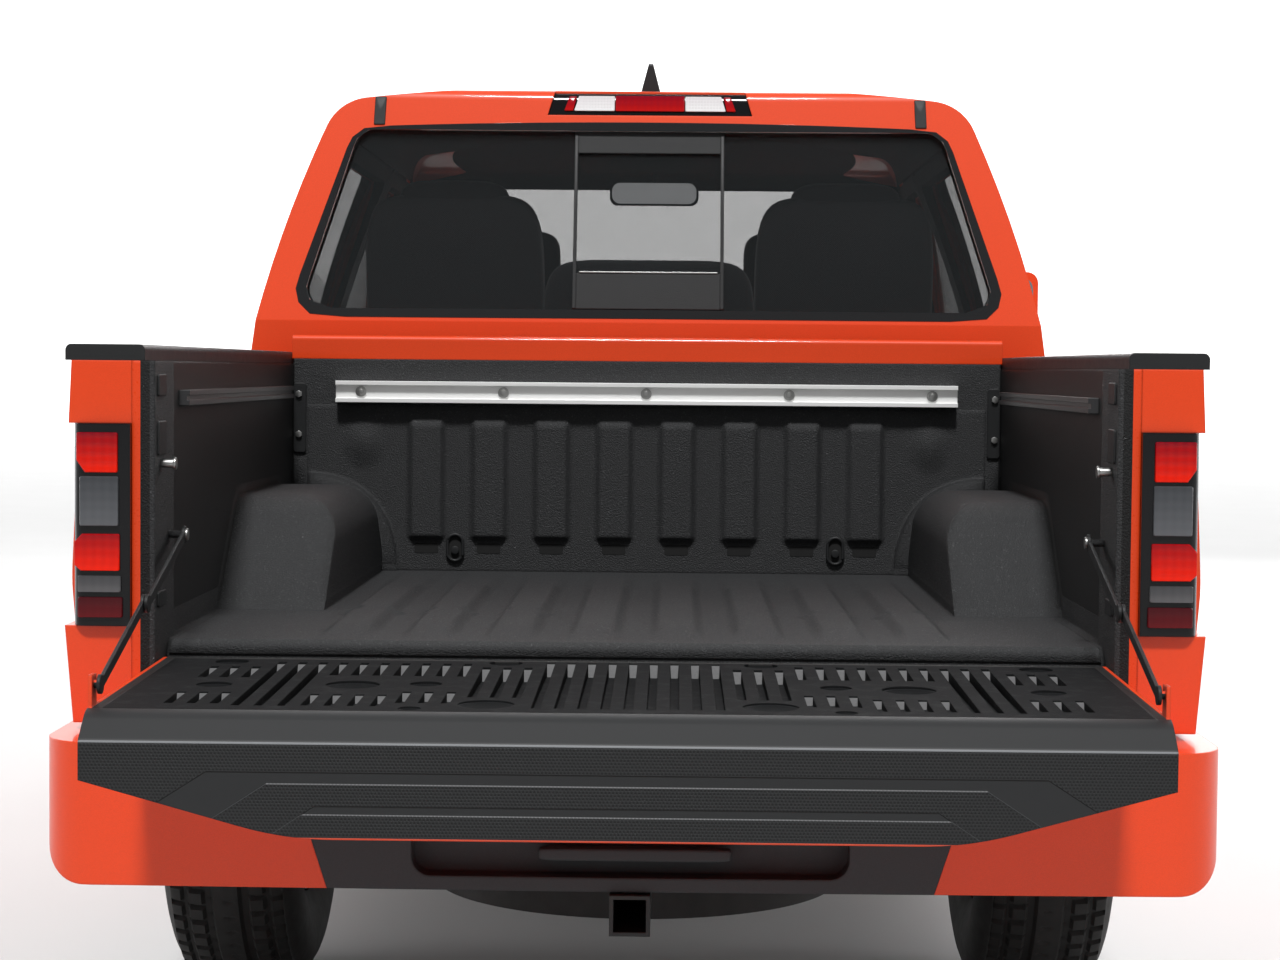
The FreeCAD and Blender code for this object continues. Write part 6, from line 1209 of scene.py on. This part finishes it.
def make_gate_liner():
    """Sloped ends in the slots of the tailgate's liner, and dished floors in its round cups.

    A slot's end falls from the liner's top to the slot's floor over its own depth and a bit
    more; a cup's height grows with the cube of the share of its radius.
    """
    box_low, box_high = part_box("tailgate_liner")
    length, floor = box_high.y - box_low.y, box_high.z - LINER_DEPTH
    x, share = np.array([(step * SLOT_PITCH * side, share) for first, last, share in SLOT_GROUPS
                         for step in range(first, last + 1)
                         for side in ((-1, 1) if step else (1,))]).T
    y = box_high.y - length * share
    top = box_high.z - LINER_FALL * share - 0.0006
    depth = top - floor
    corners = [(x + side * wide, y + back * depth * 1.1 + 0.0004, level)
               for back, wide, level in ((0, 0.0066, top), (-1, 0.0052, floor + 0 * top),
                                         (0, 0.0066, floor - 0.0004 + 0 * top))
               for side in (-1, 1)]
    points = np.stack([np.stack(corner, -1) for corner in corners], 1).reshape(-1, 3)
    wedge = np.array([(0, 2, 1), (1, 2, 3), (2, 4, 3), (3, 4, 5), (0, 1, 4), (1, 5, 4),
                      (0, 4, 2), (1, 3, 5)])
    faces = (wedge[None] + 6 * np.arange(len(x))[:, None, None]).reshape(-1, 3)
    piece("liner_slot_ends", (points, faces), "slot_end", "tailgate")
    bowls = []
    for step, share, radius in CUPS:
        rise = LINER_DEPTH - LINER_FALL * share - 0.0012
        reach = np.linspace(0, 1, 12)
        bowl = [(radius * r, floor + 0.0006 + rise * r ** 3) for r in reach]
        profile = bowl + [(radius, floor - 0.0004), (0, floor - 0.0004)]
        bowls.append(lathe(profile, "Z", (step * SLOT_PITCH, box_high.y - length * share, 0)))
    piece("liner_cups", both(joined(*bowls)), "gate_liner", "tailgate")


# Radius of the grille's wires, and how much wider the mesh gets over its height
MESH_WIRE = 0.0022
MESH_FLARE = 0.30


def make_front_trim():
    """Mesh behind the grille's bars, fog lamps and wipers."""
    y = high("grille").y - 0.085 + 0.006
    rows = []
    for z in np.arange(0.795, 1.035, 0.017):
        reach = 0.39 + (z - 0.79) * MESH_FLARE
        rows.append(tube([(x, y, z) for x in np.linspace(-reach, reach, 3)], MESH_WIRE, 6))
    for x in np.arange(-0.44, 0.445, 0.022):
        base = max(0.795, 0.79 + (abs(x) - 0.39) / MESH_FLARE)
        rows.append(tube([(x, y, z) for z in np.linspace(base, 1.028, 3)], MESH_WIRE, 6))
    piece("grille_mesh", joined(*rows), "steel", "truck")
    lamps = [disc("Y", (x, 2.752, 0.56), 0.047, 0.02, 0.008, 40) for x in (-0.66, 0.66)]
    piece("fog_lenses", joined(*lamps), "fog_lens", "truck")
    blades = []
    for start, end in ((-0.62, -0.02), (0.06, 0.60)):
        share = np.linspace(0, 1, 24)
        x = start + (end - start) * share
        lift = 0.012 + 0.035 * share
        y = 1.5155 - lift * 1.35
        z = 1.262 + lift
        blades.append(tube(np.stack([x, y, z], -1), 0.005, 8))
    piece("wipers", joined(*blades), "black_plastic", "truck")


FLOOR_REACH = 60.0
WORLD_LIGHT = 0.28
# Name, kind, place, what it aims at, size or angle, and power
LIGHTS = (
    ("sun", "SUN", (-0.1, -4.0, 7.0), (0, 0, 0), 0.14, 3.2),
    ("front", "AREA", (2.0, 9.0, 5.0), (0, 1.0, 0.8), 5.0, 420.0),
    ("left", "AREA", (-8.0, 1.0, 3.0), (0, 0.0, 0.9), 4.0, 160.0),
    ("right", "AREA", (8.0, 1.0, 3.0), (0, 0.0, 0.9), 4.0, 160.0))
EYE = (0.0614, -6.2918, 1.248)
EYE_TILT = (math.pi / 2 - 0.044, -0.0088, 0.0138)


def staged(name, corners):
    """A square of the stage with its finish."""
    mesh = bpy.data.meshes.new(name)
    mesh.from_pydata(corners, [], [(0, 1, 2, 3)])
    mesh.materials.append(finish_of(name))
    obj = bpy.data.objects.new(name, mesh)
    bpy.context.scene.collection.objects.link(obj)


def make_stage():
    """Floor, backdrop, lights and camera."""
    scene = bpy.context.scene
    far = FLOOR_REACH
    staged("floor", [(-far, -far, 0), (far, -far, 0), (far, far, 0), (-far, far, 0)])
    staged("backdrop", [(-far, 32, -1), (far, 32, -1), (far, 32, 45), (-far, 32, 45)])
    world = scene.world or bpy.data.worlds.new("studio")
    scene.world = world
    world.use_nodes = True
    sky = world.node_tree.nodes["Background"].inputs
    sky["Color"].default_value = (1.0, 1.0, 1.0, 1.0)
    sky["Strength"].default_value = WORLD_LIGHT
    for name, kind, place, aim, size, power in LIGHTS:
        light = bpy.data.lights.new(name, kind)
        light.energy = power
        setattr(light, "angle" if kind == "SUN" else "size", size)
        lamp = bpy.data.objects.new(name, light)
        lamp.location = place
        lamp.rotation_euler = (Vector(aim) - Vector(place)).to_track_quat("-Z", "Y").to_euler()
        scene.collection.objects.link(lamp)
    scene.view_settings.view_transform = "Standard"
    camera = bpy.data.cameras.new("camera")
    camera.sensor_width = 36.0
    camera.lens = looks().lens
    camera.clip_end = 200.0
    eye = bpy.data.objects.new("camera", camera)
    eye.location = EYE
    eye.rotation_euler = Euler(EYE_TILT, "YXZ")
    scene.collection.objects.link(eye)
    scene.camera = eye


# ---------------------------------------------------------------- operators and panel

class TRUCK_OT_finishes(bpy.types.Operator):
    """Give every CAD node the finish of its slot."""
    bl_idname = "truck.finishes"
    bl_label = "Finishes"

    def execute(self, context):
        dress_frame()
        return {"FINISHED"}


class TRUCK_OT_tyres(bpy.types.Operator):
    """Treaded tyres in place of the plain ones."""
    bl_idname = "truck.tyres"
    bl_label = "Tyres"

    def execute(self, context):
        make_tyres()
        return {"FINISHED"}


class TRUCK_OT_wheel_trim(bpy.types.Operator):
    """Centre cap and wheel nuts on each wheel."""
    bl_idname = "truck.wheel_trim"
    bl_label = "Wheel trim"

    def execute(self, context):
        make_wheel_trim()
        return {"FINISHED"}


class TRUCK_OT_seats(bpy.types.Operator):
    """Padded cushions, backs and headrests in place of the plain seats."""
    bl_idname = "truck.seats"
    bl_label = "Seats"

    def execute(self, context):
        make_seats()
        return {"FINISHED"}


class TRUCK_OT_rear_window(bpy.types.Operator):
    """Sliding pane in the back window: its bars, posts and lip, laid on the glass."""
    bl_idname = "truck.rear_window"
    bl_label = "Rear window"

    def execute(self, context):
        make_rear_window()
        return {"FINISHED"}


class TRUCK_OT_lamp_lenses(bpy.types.Operator):
    """Lenses of the tail lamps and of the high brake lamp, set on their black housings."""
    bl_idname = "truck.lamp_lenses"
    bl_label = "Lamp lenses"

    def execute(self, context):
        make_lamp_lenses()
        return {"FINISHED"}


class TRUCK_OT_roof_trim(bpy.types.Operator):
    """Ends of the roof strips, folded down over the back edge of the roof."""
    bl_idname = "truck.roof_trim"
    bl_label = "Roof trim"

    def execute(self, context):
        make_roof_trim()
        return {"FINISHED"}


class TRUCK_OT_mirror_glass(bpy.types.Operator):
    """Silvered panes on the back of the door mirrors."""
    bl_idname = "truck.mirror_glass"
    bl_label = "Mirror glass"

    def execute(self, context):
        make_mirror_glass()
        return {"FINISHED"}


class TRUCK_OT_bed_relief(bpy.types.Operator):
    """Rounded corrugations of the sprayed floor and front wall, over the plain ribs."""
    bl_idname = "truck.bed_relief"
    bl_label = "Bed corrugations"

    def execute(self, context):
        make_bed_relief()
        return {"FINISHED"}


class TRUCK_OT_bed_trim(bpy.types.Operator):
    """Bolts on the rails, tie-down cleats, corner brackets and shadow pockets in the bed."""
    bl_idname = "truck.bed_trim"
    bl_label = "Bed trim"

    def execute(self, context):
        make_bed_trim()
        return {"FINISHED"}


class TRUCK_OT_bumper_trim(bpy.types.Operator):
    """Parking sensors, step strips and the bar over the plate pocket of the rear bumper."""
    bl_idname = "truck.bumper_trim"
    bl_label = "Bumper trim"

    def execute(self, context):
        make_bumper_trim()
        return {"FINISHED"}


class TRUCK_OT_gate_trim(bpy.types.Operator):
    """Latch blocks at the ends of the tailgate, strap studs, and strikers on the pillars."""
    bl_idname = "truck.gate_trim"
    bl_label = "Tailgate trim"

    def execute(self, context):
        make_gate_trim()
        return {"FINISHED"}


class TRUCK_OT_gate_liner(bpy.types.Operator):
    """Sloped ends in the slots of the tailgate's liner, and dished floors in its round cups."""
    bl_idname = "truck.gate_liner"
    bl_label = "Tailgate liner"

    def execute(self, context):
        make_gate_liner()
        return {"FINISHED"}


class TRUCK_OT_front_trim(bpy.types.Operator):
    """Mesh behind the grille's bars, fog lamps and wipers."""
    bl_idname = "truck.front_trim"
    bl_label = "Front trim"

    def execute(self, context):
        make_front_trim()
        return {"FINISHED"}


class TRUCK_OT_stage(bpy.types.Operator):
    """Floor, backdrop, lights and camera."""
    bl_idname = "truck.stage"
    bl_label = "Stage"

    def execute(self, context):
        make_stage()
        return {"FINISHED"}


OPERATORS = [TRUCK_OT_finishes, TRUCK_OT_tyres, TRUCK_OT_wheel_trim, TRUCK_OT_seats,
             TRUCK_OT_rear_window, TRUCK_OT_lamp_lenses, TRUCK_OT_roof_trim, TRUCK_OT_mirror_glass,
             TRUCK_OT_bed_relief, TRUCK_OT_bed_trim, TRUCK_OT_bumper_trim, TRUCK_OT_gate_trim,
             TRUCK_OT_gate_liner, TRUCK_OT_front_trim, TRUCK_OT_stage]


class TRUCK_PT_panel(bpy.types.Panel):
    """Lists the settings and steps of the truck."""
    bl_label = "Truck"
    bl_idname = "TRUCK_PT_panel"
    bl_space_type = "VIEW_3D"
    bl_region_type = "UI"
    bl_category = "Truck"

    def draw(self, context):
        for name in TruckLooks.__annotations__:
            self.layout.prop(context.scene.truck_looks, name)
        for item in OPERATORS:
            self.layout.operator(item.bl_idname)


CLASSES = [TruckLooks, *OPERATORS, TRUCK_PT_panel]


def register():
    for item in CLASSES:
        bpy.utils.register_class(item)
    bpy.types.Scene.truck_looks = bpy.props.PointerProperty(type=TruckLooks)


def unregister():
    del bpy.types.Scene.truck_looks
    for item in reversed(CLASSES):
        bpy.utils.unregister_class(item)


def main():
    """Make everything in order."""
    register()
    for item in OPERATORS:
        getattr(bpy.ops.truck, item.bl_idname.partition(".")[2])()


if __name__ == "__main__":
    main()
